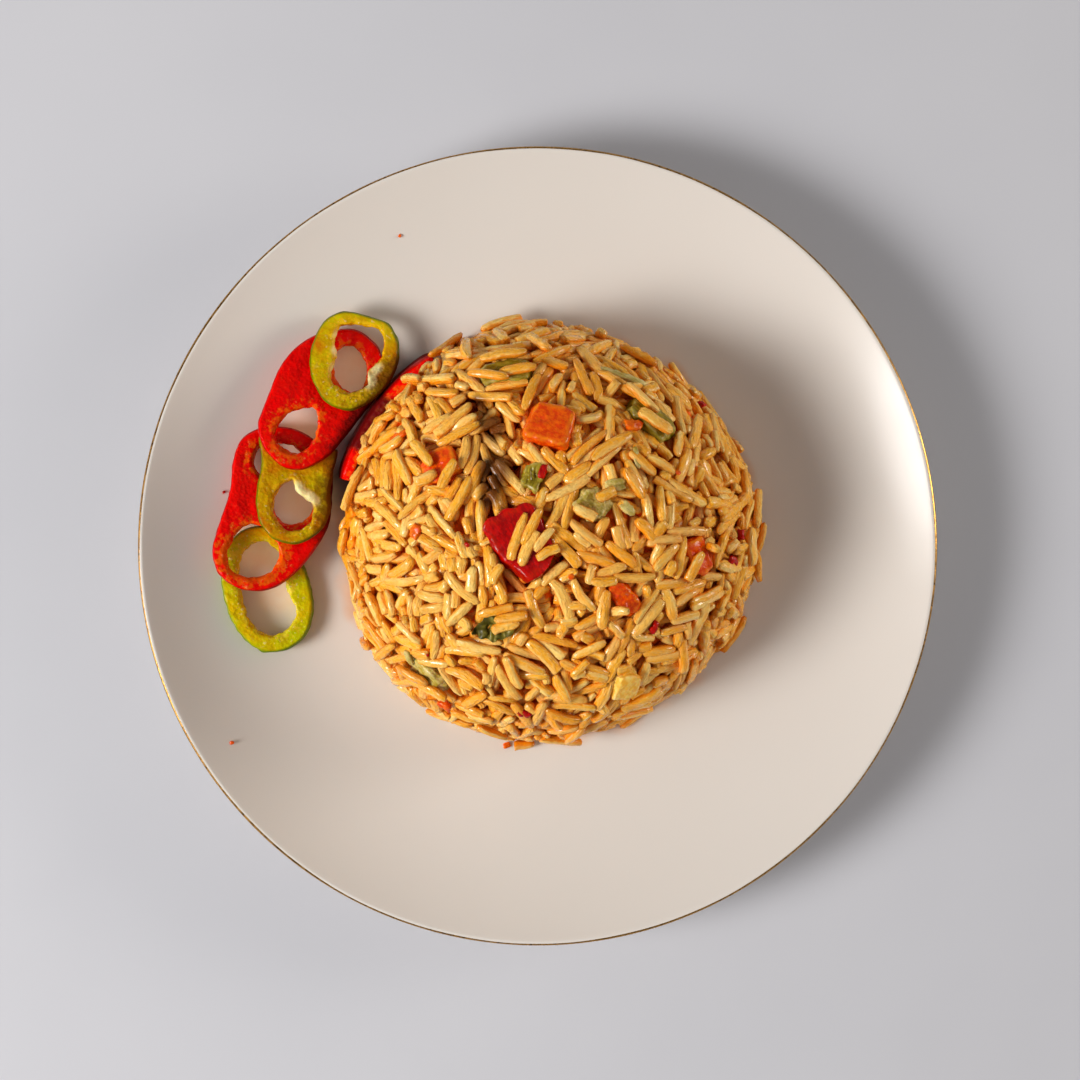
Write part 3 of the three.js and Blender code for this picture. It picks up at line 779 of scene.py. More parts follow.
# A pepper's sixth tone is its painted shade; its fifth also colours painted glints near the chambers.
GREEN_PEPPER = RawPepper(
    "green_pepper", "green_pepper_flesh", tone(96, 112, 0), tone(212, 200, 0), tone(206, 104, 0),
    tone(232, 188, 20), tone(250, 236, 168), tone(104, 60, 0), 1.0, 1.0, 1.0,
)
FRESH_GREEN = RawPepper(
    "fresh_green_pepper", "green_pepper_flesh", tone(108, 136, 0), tone(196, 206, 0), tone(226, 190, 0),
    tone(226, 206, 40), tone(250, 240, 180), tone(150, 110, 0), 1.1, 1.6, 1.0,
)
COOKED_RED = CookedDice(
    "cooked_red_pepper", "red_pepper_flesh", tone(156, 0, 0), tone(196, 2, 0), tone(220, 60, 14),
    tone(104, 0, 0), 180.0, 0.3, 0.4,
)
CARROT = CookedDice("cooked_carrot", "cooked_carrot")
PALE_CARROT = CookedDice(
    "pale_carrot", "cooked_carrot", tone(244, 136, 6), tone(248, 160, 24), tone(250, 190, 90),
    tone(230, 100, 0),
)
COOKED_GREEN = CookedDice(
    "cooked_green_pepper", "cooked_green_pepper", tone(124, 104, 8), tone(170, 148, 40),
    tone(210, 196, 120), tone(84, 66, 2), 200.0, 0.7, 0.2,
)
PALE_GREEN = CookedDice(
    "pale_green_pepper", "cooked_green_pepper", tone(176, 152, 50), tone(212, 190, 110),
    tone(236, 220, 160), tone(120, 98, 6), 260.0, 0.7, 0.5,
)
COOKED_YELLOW = CookedDice(
    "cooked_yellow_pepper", "yellow_pepper_flesh", tone(244, 176, 50), tone(250, 204, 96),
    tone(254, 226, 146), tone(222, 146, 24), 220.0, 0.6, 0.6,
)
LEAF = WiltedLeaf("wilted_leaf", "herb")
TABLE = PaleTable("pale_table", "")


# ---------- the plate ----------
@dataclass(frozen=True)
class CoupePlate:
    """A round coupe plate: a flat well that turns up late into a rounded, gilded lip.

    Above the well the glaze's height is the well's plus rise times s^power, with s the share of the way
    from the well's edge to the lip.
    """

    radius: float = 115.0
    well_height: float = 6.2
    well_radius: float = 58.0
    reach: float = 57.0
    rise: float = 16.2
    power: float = 2.2
    wall: float = 4.0
    lip_radius: float = 0.95
    foot_radius: float = 62.0
    foot_width: float = 5.0
    recess: float = 2.2
    sides: int = 288
    painted_glow_spots: Rows = (  # painted warm light under the slices, a tint and a glow for light that comes through them: x, y and radius
        (-68.5, 13.5, 9.0), (-69.0, 34.0, 7.0), (-54.0, 51.0, 9.0), (-82.0, 0.0, 8.0), (-76.0, -14.0, 6.0),
    )
    wept: tuple[float, float] = (126.0, 176.0)  # azimuths between which dark red shade is painted on the glaze beside the heap
    gilded: tuple[float, float] = (-25.0, 70.0)  # degrees round the lip, from its outermost point up
    gilding: float = 0.05  # thickness
    stained_above: float = 5.0  # height above which the glaze takes stains

    def glaze_height(self, radius: Array) -> Array:
        """Height of the glaze at a distance from the middle."""
        share = np.maximum(0.0, np.asarray(radius) - self.well_radius) / self.reach
        return self.well_height + self.rise * share**self.power

    def lip(self) -> tuple[Array, float]:
        """Finds the circle that rounds the lip.

        Returns:
            Its middle, as a radius and a height, and the glaze's slope where they meet, in radians.
        """
        meets = self.radius - self.lip_radius * 1.5
        share = (meets - self.well_radius) / self.reach
        slope = math.atan(self.rise * self.power / self.reach * share**1.2)
        meets = self.radius - self.lip_radius * (1.0 + math.sin(slope))
        way = np.array([math.sin(slope), -math.cos(slope)])
        return np.array([meets, self.glaze_height(meets)]) + self.lip_radius * way, slope

    def section(self) -> Array:
        """The plate's section, from the top's middle over the lip to the underside's middle."""
        middle, slope = self.lip()
        meets = middle[0] - self.lip_radius * math.sin(slope)
        inner = np.linspace(0.6, self.well_radius - 2.0, 16)
        outer = np.linspace(self.well_radius, meets, 64)
        top = np.concatenate([inner, outer])
        turned = np.linspace(math.pi / 2 + slope, -math.pi / 3, 18)[1:]
        lip = middle + self.lip_radius * np.stack([np.cos(turned), np.sin(turned)], axis=1)
        share = np.linspace(0.93, 0.16, 30)
        under = self.well_radius + share * self.reach
        wall = self.wall + (2.0 * self.lip_radius - self.wall) * share
        foot = self.foot_radius
        base = [
            (foot + 1.6, self.recess + 0.5), (foot + 0.7, self.recess - 0.2), (foot + 0.25, 1.2),
            (foot, 0.6), (foot - 0.35, 0.15), (foot - 0.9, 0.0), (foot - self.footing(), 0.0),
            (foot - self.footing() - 0.6, 0.15), (foot - self.footing() - 1.2, 0.8),
            (foot - self.footing() - 2.2, self.recess - 0.2), (foot - self.footing() - 3.4, self.recess),
            (30.0, self.recess), (0.6, self.recess),
        ]
        return np.concatenate([
            np.stack([top, self.glaze_height(top)], axis=1),
            lip,
            np.stack([under + 0.3 * wall, self.glaze_height(under) - 0.95 * wall], axis=1),
            np.array(base),
        ])

    def footing(self) -> float:
        """Width of the flat that the plate stands on."""
        return self.foot_width - 0.8

    def turned(self, section: Array) -> Array:
        """Carries a section round the plate's axis: rows of the grid are its points."""
        angles = np.linspace(0.0, TURN, self.sides, endpoint=False)
        radius, height = section[:, 0, None], section[:, 1, None]
        return np.stack([radius * np.cos(angles), radius * np.sin(angles), height + 0.0 * angles], axis=-1)

    def build(self, food: tuple[float, float, float]) -> None:
        """Makes the porcelain and its line of gold.

        Args:
            food: The heap's middle and radius, for the oil that has crept out of it and the painted shade
                beside it.
        """
        plate = Surface.over_closed_grid(self.turned(self.section())).facing_out()
        x, y, z = plate.points.T
        away = np.hypot(x - food[0], y - food[1]) - food[2]
        away += 1.5 * ripple(plate.points, 14.0, 5)
        # the oil alone; the painted warm light under the slices joins it below
        oiled = np.clip(1.0 - away / 3.5, 0.0, 1.0)
        lit = np.zeros(len(oiled))
        # painted warm light and glow under the slices
        for spot_x, spot_y, radius in self.painted_glow_spots:
            across = np.hypot(x - spot_x, y - spot_y)
            lit = np.maximum(lit, np.exp(-((across / radius) ** 4)))
        azimuth = np.degrees(np.arctan2(y - food[1], x - food[0]))
        # painted shade in the gap beside the heap, between the slices and the strip
        beside = np.clip(np.minimum(azimuth - self.wept[0], self.wept[1] - azimuth) / 5.0, 0.0, 1.0)
        on_top = z > self.stained_above
        plate.layers["oiled"] = np.maximum(oiled, 0.5 * lit) * on_top
        plate.layers["lit"] = lit * on_top
        plate.layers["wept"] = 0.92 * beside * np.clip((7.0 - away) / 3.0, 0.0, 1.0) * on_top
        plate.made("porcelain_plate", PORCELAIN, ("plate",))
        self.gild()

    def gild(self) -> None:
        """Wraps a thin closed band round the lip; its inner edge wavers as a brush does."""
        middle, _ = self.lip()
        angles = np.linspace(0.0, TURN, self.sides, endpoint=False)
        waver = 4.0 * np.sin(5.0 * angles + 1.0) + 3.0 * np.sin(13.0 * angles) + 1.5 * np.sin(31.0 * angles)
        low, high = self.gilded
        across = np.linspace(0.0, 1.0, 9)[:, None]
        lean = np.radians(low + (high + waver - low) * across)
        outside, inside = self.lip_radius + self.gilding, self.lip_radius - self.gilding
        rows = []
        for reach, lift in ((outside, lean), (inside, lean[::-1])):
            radius, height = middle[0] + reach * np.cos(lift), middle[1] + reach * np.sin(lift)
            rows.append(np.stack([radius * np.cos(angles), radius * np.sin(angles), height], -1))
        band = Surface.over_grid(np.concatenate(rows), closed_rows=True).facing_out()
        band.made("gold_line", GILDING)


# ---------- the heap's form ----------
@dataclass(frozen=True)
class Dome:
    """The heap's smooth form, in a frame of its own whose origin is the middle of its foot.

    The plain dome is where (r / radius)^power + (z / height)^power is 1. The real heap has three soft
    lobes round its foot and a dent beside its crown.
    """

    centre: tuple[float, float] = (2.7, 3.7)
    radius: float = 59.4
    height: float = 49.6
    power: float = 2.35
    lobe: float = 0.022
    lobe_azimuth: float = math.radians(115.0)
    base: float = 6.2
    dent: tuple[float, float] = (-11.0, 24.0)
    dent_size: tuple[float, float] = (8.0, 14.0)
    dent_depth: float = 4.5

    def fullness(self, points: Array) -> Array:
        """1 on the plain dome, and less inside it."""
        across = np.hypot(points[..., 0], points[..., 1]) / self.radius
        up = np.maximum(0.0, points[..., 2]) / self.height
        return np.maximum(across**self.power + up**self.power, 1e-9) ** (1.0 / self.power)

    def onto(self, points: Array) -> Array:
        """Brings points onto the plain dome along lines to its origin."""
        return points / self.fullness(points)[..., None]

    def facing(self, points: Array) -> Array:
        """The way out of the dome at each point."""
        radius = np.maximum(np.hypot(points[..., 0], points[..., 1]), 1e-9)
        outward = (radius / self.radius) ** (self.power - 1.0) / self.radius / radius
        upward = (np.maximum(0.0, points[..., 2]) / self.height) ** (self.power - 1.0) / self.height
        return unit(np.stack([points[..., 0] * outward, points[..., 1] * outward, upward], axis=-1))

    def depth(self, points: Array) -> Array:
        """Distance of each point inward from the plain dome, square to its surface."""
        return (1.0 / self.fullness(points) - 1.0) * (self.facing(points) * points).sum(axis=-1)

    def lobes(self, x: Array, y: Array) -> Array:
        """Share by which the foot swells in the direction of (x, y)."""
        return 1.0 + self.lobe * np.cos(3.0 * (np.arctan2(y, x) - self.lobe_azimuth))

    def dented(self, x: Array, y: Array) -> Array:
        """How far the heap is dented at (x, y) of the plate, as a share of its height."""
        across = (x - self.dent[0]) / self.dent_size[0]
        along = (y - self.dent[1]) / self.dent_size[1]
        return self.dent_depth * np.exp(-(across**2) - along**2) / self.height

    def settled(self, points: Array) -> Array:
        """Moves points of the plain dome to the real heap on the plate."""
        swell = self.lobes(points[..., 0], points[..., 1])
        x = points[..., 0] * swell + self.centre[0]
        y = points[..., 1] * swell + self.centre[1]
        return np.stack([x, y, points[..., 2] * (1.0 - self.dented(x, y)) + self.base], axis=-1)

    def unsettled(self, points: Array) -> Array:
        """Moves points of the real heap back to the plain dome."""
        x, y = points[..., 0] - self.centre[0], points[..., 1] - self.centre[1]
        swell = self.lobes(x, y)
        kept = 1.0 - self.dented(points[..., 0], points[..., 1])
        return np.stack([x / swell, y / swell, (points[..., 2] - self.base) / kept], axis=-1)

    def above(self, x: Array, y: Array) -> Array:
        """The points of the plain dome under which (x, y) of the plate lie."""
        flat = self.unsettled(np.stack([x, y, np.full_like(x, self.base)], axis=-1))
        across = np.minimum(1.0, np.hypot(flat[..., 0], flat[..., 1]) / self.radius) ** self.power
        height = self.height * (1.0 - across) ** (1.0 / self.power)
        return np.stack([flat[..., 0], flat[..., 1], height], axis=-1)

    def heap_shade(self, places: Array, seed: int) -> Array:
        """How much painted shade the heap's foot lays on places beside it: fully within 4.5 mm, not beyond
        11 mm.
        """
        away = np.hypot(places[:, 0] - self.centre[0], places[:, 1] - self.centre[1]) - self.radius
        level = np.column_stack([places[:, :2], np.zeros(len(places))])
        return np.clip(1.0 - (away - 4.5 + ripple(level, 9.0, seed)) / 6.5, 0.0, 1.0)

    def frame_at(self, x: float, y: float, spin: float, lift: float) -> tuple[Array, Array]:
        """A frame on the heap: Z faces out, X is level and then turned by spin round Z.

        Args:
            x: Place on the plate.
            y: Place on the plate.
            spin: Turn, in degrees.
            lift: Distance of the origin outside the bare surface.

        Returns:
            The origin on the real heap, and the three axes as rows.
        """
        point = self.above(np.array(x, float), np.array(y, float))
        out = self.facing(point)
        level = unit(np.cross((0.0, 0.0, 1.0), out))
        turn = math.radians(spin)
        side = level * math.cos(turn) + np.cross(out, level) * math.sin(turn)
        return self.settled(point + out * lift), np.stack([side, np.cross(out, side), out])

    def spiral(self, count: int, inset: float) -> Array:
        """Points spread evenly over the dome, an equal area to each.

        Args:
            count: How many.
            inset: How far inside the surface they lie.

        Returns:
            The points, from the foot to the crown.
        """
        angle = np.linspace(0.0, math.pi / 2.0, 400)
        section = self.onto(np.stack([np.cos(angle), 0.0 * angle, np.sin(angle)], axis=-1))
        section -= self.facing(section) * inset
        band = np.linalg.norm(np.diff(section, axis=0), axis=1) * (section[1:, 0] + section[:-1, 0])
        area = np.concatenate([[0.0], np.cumsum(band)])
        wanted = area[-1] * (np.arange(count) + 0.5) / count
        radius, height = (np.interp(wanted, area, section[:, axis]) for axis in (0, 2))
        azimuth = np.arange(count) * math.pi * (3.0 - math.sqrt(5.0))
        return np.stack([radius * np.cos(azimuth), radius * np.sin(azimuth), height], axis=-1)


# ---------- the vegetables in the rice ----------
class Cut(Enum):
    """How a piece of vegetable was cut: its squareness, how its top sags and how uneven it is."""

    DICE = (9.0, 0.5, 0.18)
    FLAP = (6.0, 0.35, 0.3)
    PULP = (4.5, 0.5, 0.5)
    LEAF = (3.2, 0.9, 0.35)


@dataclass(frozen=True)
class VegetablePiece:
    """A piece of vegetable that shows in the heap.

    Attributes:
        node: The solid that it stands for.
        place: Where it lies, on the plate.
        spin: Its turn from level, in degrees.
        size: Length, width and thickness.
        lift: Height of its middle above the bare heap.
        cut: How it was cut.
        finish: What it is made of.
        bend: How far its ends rise above its middle.
    """

    node: str
    place: tuple[float, float]
    spin: float
    size: tuple[float, float, float]
    lift: float
    cut: Cut
    finish: Finish
    bend: float = 0.0

    def surface(self, seed: int) -> Surface:
        """Shapes the piece round the origin, with its own unevenness.

        Args:
            seed: Number that picks the unevenness.

        Returns:
            The closed surface, with its edges and own coordinates as layers, and a leaf's veins.
        """
        length, width, thickness = self.size
        sharpness, sag, rough = self.cut.value
        block = rounded_block((length + 0.4, width + 0.4, thickness), sharpness, 44, 64)
        shares = 2.0 * block.points / np.array(self.size)
        along, across, up = shares.T
        flatness = np.sort(np.abs(shares), axis=1)[:, 1]
        block.layers["edge"] = np.clip((flatness - 0.72) / 0.22, 0.0, 1.0)
        random = np.random.default_rng(seed)
        slant = random.uniform(-0.09, 0.09, 4)
        points = block.points
        points[:, 0] *= 1.0 + slant[0] * across - 0.05 * across**2
        points[:, 1] *= 1.0 + slant[1] * along - 0.05 * along**2
        points[:, 2] += self.bend * along**2 + slant[2] * points[:, 0] * 0.4 + slant[3] * points[:, 1] * 0.4
        if self.cut is Cut.LEAF:
            points[:, 1] *= 1.0 - 0.62 * along**2
            crumple = ripple(points * (1.0, 1.0, 0.0), 3.0, seed + 7)
            points[:, 2] = (
                0.32 * up + 0.6 * np.sin(4.0 * along) + 0.35 * np.abs(points[:, 1]) + 0.5 * crumple
            )
            block.layers["vein"] = np.clip(np.abs(crumple) * 1.4 - 0.5, 0.0, 1.0)
        else:
            points[:, 2] -= sag * 0.4 * (along**2 + across**2 - 1.0) * (up > 0.0) * thickness * 0.06
            for turn in random.uniform(0.0, TURN, 3):
                rise = random.uniform(-0.5, 0.9) * width
                way = unit(np.array([math.cos(turn) * length, math.sin(turn) * width, rise]))
                reach = np.max(points @ way)
                points -= np.maximum(0.0, points @ way - reach * random.uniform(0.8, 0.9))[:, None] * way
        uneven = rough * ripple(points, 3.4, seed) + 0.35 * rough * ripple(points, 1.3, seed + 1)
        points += unit(points) * uneven[:, None]
        block.points = points
        block.layers["own"] = points.copy()
        return block

    def build(self, dome: Dome, seed: int) -> None:
        """Lays the piece on the heap."""
        surface = self.surface(seed)
        origin, axes = dome.frame_at(*self.place, self.spin, self.lift)
        surface.points = surface.points @ axes + origin
        surface.made(f"{self.node}_piece", self.finish, (self.node,))


VEGETABLES = (
    VegetablePiece("carrot_crown", (3.3, 32.7), -16, (12.5, 11.2, 7), 0.4, Cut.DICE, CARROT),
    VegetablePiece("carrot_west", (-27.1, 22.4), -38, (10.5, 9, 6), -1.8, Cut.DICE, CARROT),
    VegetablePiece("carrot_foot", (-53.6, 5.6), 0, (13, 9, 5), -1.2, Cut.PULP, PALE_CARROT),
    VegetablePiece("carrot_south_east", (23.9, -14.1), 78, (11, 5.4, 5), -1.3, Cut.PULP, CARROT),
    VegetablePiece("carrot_east", (45.1, -2.8), 34, (10.5, 7, 5), -1.7, Cut.DICE, CARROT),
    VegetablePiece("green_pepper_middle", (15.1, 11.5), 20, (8.4, 7.6, 4.4), -0.8, Cut.PULP, PALE_GREEN),
    VegetablePiece("green_pepper_crown", (-1.4, 19), 60, (7, 5, 4), -0.2, Cut.PULP, COOKED_GREEN),
    VegetablePiece("green_pepper_east", (32, 35.4), -2, (16, 8, 3.6), -0.3, Cut.FLAP, COOKED_GREEN, -1.0),
    VegetablePiece("green_pepper_north", (-9, 48.6), -7, (15, 8, 3.4), -0.4, Cut.FLAP, COOKED_GREEN, -1.0),
    VegetablePiece("green_pepper_foot", (-31.2, -37.1), 2, (12, 9, 4), -0.8, Cut.PULP, PALE_GREEN, -1.0),
    VegetablePiece("yellow_pepper", (24.3, -38.1), 60, (9, 7.4, 5), 0.2, Cut.DICE, COOKED_YELLOW),
    VegetablePiece("red_pepper", (-4.1, 0.8), 5, (20, 15, 3.6), -0.5, Cut.FLAP, COOKED_RED, 1.6),
    VegetablePiece("herb_leaf", (-11.6, -22.1), 41, (12.5, 7, 1.3), 0.6, Cut.LEAF, LEAF),
)


# ---------- the grains ----------
@dataclass
class GrainBed:
    """Grains as stiff rods with round ends, in the dome's frame.

    Attributes:
        heads: One end of each rod.
        tails: The other end.
        radius: Half a grain's thickness.
        ease: How readily each gives way when two meet.
    """

    heads: Array
    tails: Array
    radius: Array
    ease: Array

    @classmethod
    def laid(cls, middle: Array, along: Array, length: Array, radius: Array, ease: float) -> GrainBed:
        """Lays rods by their middles, directions and overall lengths."""
        half = along * (length / 2.0 - radius)[:, None]
        return cls(middle + half, middle - half, radius, np.full(len(middle), ease))

    def only(self, picked: Array) -> GrainBed:
        """The picked grains alone."""
        return GrainBed(*(values[picked] for values in vars(self).values()))

    def with_more(self, other: GrainBed) -> GrainBed:
        """Adds the grains of another bed."""
        pairs = zip(vars(self).values(), vars(other).values())
        return GrainBed(*(np.concatenate(pair) for pair in pairs))

    def near_pairs(self, room: float) -> tuple[Array, Array]:
        """The pairs of grains that are near enough to meet soon."""
        middle = ((self.heads + self.tails) / 2.0).astype(np.float32)
        reach = (np.linalg.norm(self.heads - self.tails, axis=1) / 2.0 + self.radius).astype(np.float32)
        square = (middle**2).sum(axis=1)
        apart = square[:, None] + square[None, :] - 2.0 * middle @ middle.T
        return np.nonzero(np.triu(apart < (reach[:, None] + reach[None, :] + room) ** 2, 1))

    def closest(self, first: Array, second: Array) -> tuple[Array, Array, Array]:
        """Where two rods pass closest.

        Args:
            first: Numbers of the first grains.
            second: Numbers of the second.

        Returns:
            The share of the way from tail to head on each, and the vector from the second to the first.
        """
        u, v = self.heads[first] - self.tails[first], self.heads[second] - self.tails[second]
        w = self.tails[first] - self.tails[second]
        uu, uv, vv = (u * u).sum(1) + 1e-9, (u * v).sum(1), (v * v).sum(1) + 1e-9
        uw, vw = (u * w).sum(1), (v * w).sum(1)
        s = np.clip((uv * vw - vv * uw) / np.maximum(uu * vv - uv * uv, 1e-6), 0.0, 1.0)
        t = np.clip((uv * s + vw) / vv, 0.0, 1.0)
        s = np.clip((uv * t - uw) / uu, 0.0, 1.0)
        return s, t, w + s[:, None] * u - t[:, None] * v

    def push(self, index: Array, share: Array, way: Array) -> None:
        """Moves rods at a share of their length, the nearer end by more."""
        spread = share**2 + (1.0 - share) ** 2
        count = len(self.heads)
        self.heads += gathered(index, way * (share / spread)[:, None], count)
        self.tails += gathered(index, way * ((1.0 - share) / spread)[:, None], count)

    def part(self, first: Array, second: Array, firmness: float, pace: float) -> None:
        """Pushes apart the pairs that lie in each other.

        Args:
            first: Numbers of the first grains.
            second: Numbers of the second.
            firmness: Share of the two radii that they keep apart, as soft grains press into each other.
            pace: Share of the overlap that is undone.
        """
        s, t, between = self.closest(first, second)
        distance = np.maximum(np.linalg.norm(between, axis=1), 1e-6)
        overlap = (self.radius[first] + self.radius[second]) * firmness - distance
        met = np.nonzero(overlap > 0.0)[0]
        first, second, s, t = first[met], second[met], s[met], t[met]
        way = between[met] / distance[met, None] * (overlap[met] * pace)[:, None]
        give = self.ease[first] / (self.ease[first] + self.ease[second] + 1e-9)
        self.push(first, s, way * give[:, None])
        self.push(second, t, -way * (1.0 - give)[:, None])

    def stiffen(self, length: Array) -> None:
        """Gives every rod its own length back."""
        middle, along = (self.heads + self.tails) / 2.0, unit(self.heads - self.tails)
        self.heads = middle + along * length[:, None] / 2.0
        self.tails = middle - along * length[:, None] / 2.0


@dataclass(frozen=True)
class RicePacking:
    """Packs grains into a shell under the dome's surface until none lies much in another."""

    shell: float = 5.4  # depth of the layer of real grains
    proud: float = 0.3  # how far the outermost grains' axes may stand off the bare dome
    uneven: float = 0.9  # how much that varies over the dome
    firmness: float = 0.7
    rounds: int = 90
    layers: Rows = ((0.1, 3600), (1.3, 2800), (2.6, 2200), (4.0, 1500))  # depth and tries
    meeting: float = 14.0  # grains whose middles are further apart along any axis can't meet
    spacing: float = 0.52  # least distance between the axes of grains as laid, as a share of two radii
    length: tuple[float, float] = (9.6, 14.2)
    radius: tuple[float, float] = (1.2, 1.62)
    broken: float = 0.22  # share of the grains
    broken_length: tuple[float, float] = (3.8, 8.0)
    tilt: float = 0.2  # how much they lean in or out, in radians
    bare: Rows = ((119.0, 141.0), (157.0, 168.0))  # azimuths where the strip shows
    bare_radius: float = 56.2
    bare_height: float = 14.5

    def tangents(self, points: Array, dome: Dome, angles: Array, tilt: Array) -> Array:
        """Directions in the dome's surface at each point, turned by angles from level and tilted out."""
        out = dome.facing(points)
        level = unit(np.cross((0.0, 0.0, 1.0), out) + 1e-9)
        flat = level * np.cos(angles)[:, None] + np.cross(out, level) * np.sin(angles)[:, None]
        return unit(flat + out * np.tan(tilt)[:, None])

    def drawn(self, points: Array, dome: Dome, random: np.random.Generator) -> GrainBed:
        """Lays a grain of random length and direction at each point.

        Neighbours lean towards a shared direction, which drifts over the dome as it does in a heap that
        was pressed into a bowl.

        Args:
            points: The middles, in the dome's frame.
            dome: The heap's form.
            random: The source of the draws.

        Returns:
            The grains.
        """
        count = len(points)
        broken = random.random(count) < self.broken
        short = random.uniform(*self.broken_length, count)
        length = np.where(broken, short, random.uniform(*self.length, count))
        radius = random.uniform(*self.radius, count)
        drift = 2.6 * ripple(points, 38.0, 21) + random.normal(0.0, 0.5, count)
        along = self.tangents(points, dome, drift, random.normal(0.0, self.tilt, count))
        return GrainBed.laid(points, along, length, radius, 1.0)

    def sown(self, bed: GrainBed, dome: Dome, random: np.random.Generator) -> GrainBed:
        """Adds random grains, layer by layer, wherever one still finds room.

        Args:
            bed: The grains that are there already.
            dome: The heap's form.
            random: The source of the draws.

        Returns:
            Those grains and the new ones.
        """
        for depth, tries in self.layers:
            points = dome.spiral(tries, depth)
            points += random.normal(0.0, 1.2, points.shape)
            points = points[random.permutation(tries)]
            offered = self.drawn(points, dome, random)
            for number in range(tries):
                trial = bed.with_more(offered.only([number]))
                new = np.full(len(bed.heads), len(bed.heads))
                away = np.abs((bed.heads + bed.tails) / 2.0 - points[number]).max(axis=1)
                near = np.nonzero(away < self.meeting)[0]
                _, _, between = trial.closest(near, new[near])
                room = (bed.radius[near] + offered.radius[number]) * self.spacing
                if not len(near) or (np.linalg.norm(between, axis=1) > room).all():
                    bed = trial
        return bed

    def limits(self, points: Array) -> Array:
        """Least depth of a grain's axis at each point: the heap's surface is a little uneven."""
        return -self.proud - self.uneven * ripple(points, 17.0, 9)

    def contain(self, bed: GrainBed, dome: Dome, shell: float) -> None:
        """Brings the ends of every grain back under the surface, above the core and above the glaze."""
        for ends in (bed.heads, bed.tails):
            depth = dome.depth(ends)
            wanted = np.clip(depth, self.limits(ends), shell)
            ends -= dome.facing(ends) * (wanted - depth)[:, None]
            ends[:, 2] = np.maximum(ends[:, 2], bed.radius)
            self.clear(ends)

    def clear(self, ends: Array) -> None:
        """Draws grains in where the strip of pepper shows at the foot."""
        away = np.hypot(ends[:, 0], ends[:, 1])
        azimuth = np.degrees(np.arctan2(ends[:, 1], ends[:, 0]))
        beside = np.any([(azimuth > low) & (azimuth < high) for low, high in self.bare], axis=0)
        limit = np.where(beside & (ends[:, 2] < self.bare_height), self.bare_radius, np.inf)
        ends[:, :2] *= np.minimum(1.0, limit / np.maximum(away, 1.0))[:, None]

    def avoid(self, bed: GrainBed, dome: Dome, over: Array) -> None:
        """Keeps the grains off the vegetables.

        Args:
            bed: The grains.
            dome: The heap's form.
            over: Which grains lie on top of a vegetable, rather than beside or below it.
        """
        margin = 0.75 * bed.radius
        for piece in VEGETABLES:
            origin, axes = dome.frame_at(*piece.place, piece.spin, piece.lift)
            origin = dome.unsettled(origin)
            half = np.array(piece.size) / 2.0
            for share in (0.0, 0.25, 0.5, 0.75, 1.0):
                at = bed.tails + share * (bed.heads - bed.tails)
                local = (at - origin) @ axes.T
                into = half[:2] + margin[:, None] - np.abs(local[:, :2])
                down = local[:, 2] + half[2] + margin
                high = half[2] + margin - local[:, 2]
                inside = (into > 0.0).all(axis=1) & (down > 0.0) & (high > -4.0)
                sideways = np.argmin(into, axis=1)
                least = into[np.arange(len(into)), sideways]
                step = np.zeros_like(local)
                rows = np.nonzero(inside & ~over & (least < down))[0]
                step[rows, sideways[rows]] = (np.sign(local[rows, sideways[rows]]) * least[rows]) * 0.6
                rows = np.nonzero(inside & ~over & (least >= down))[0]
                step[rows, 2] = -0.6 * down[rows]
                rows = np.nonzero(inside & over & (high > 0.0))[0]
                step[rows, 2] = 0.6 * high[rows]
                moved = np.nonzero(np.abs(step).sum(axis=1) > 0.0)[0]
                if len(moved):
                    bed.push(moved, np.full(len(moved), share), step[moved] @ axes)

    def relaxed(self, bed: GrainBed, dome: Dome, over: Array, rounds: int, pull: float = 0.0) -> GrainBed:
        """Lets the grains make room for each other.

        Args:
            bed: The grains.
            dome: The heap's form.
            over: Which grains lie on top of the others, and may stand proud.
            rounds: How many times every pair is looked at.
            pull: How far the grains on top sink in each round.

        Returns:
            The same grains, at rest.
        """
        length = np.linalg.norm(bed.heads - bed.tails, axis=1)
        for step in range(rounds):
            if step % 8 == 0:
                pairs = bed.near_pairs(1.5)
            if pull:
                for ends in (bed.heads, bed.tails):
                    ends[over] -= dome.facing(ends[over]) * pull
            bed.part(*pairs, self.firmness, 0.42)
            self.avoid(bed, dome, over)
            bed.stiffen(length)
            kept = bed.heads[over].copy(), bed.tails[over].copy()
            self.contain(bed, dome, self.shell)
            bed.heads[over], bed.tails[over] = kept
            for ends in (bed.heads, bed.tails):
                ends[:, 2] = np.maximum(ends[:, 2], bed.radius)
            bed.stiffen(length)
        return bed


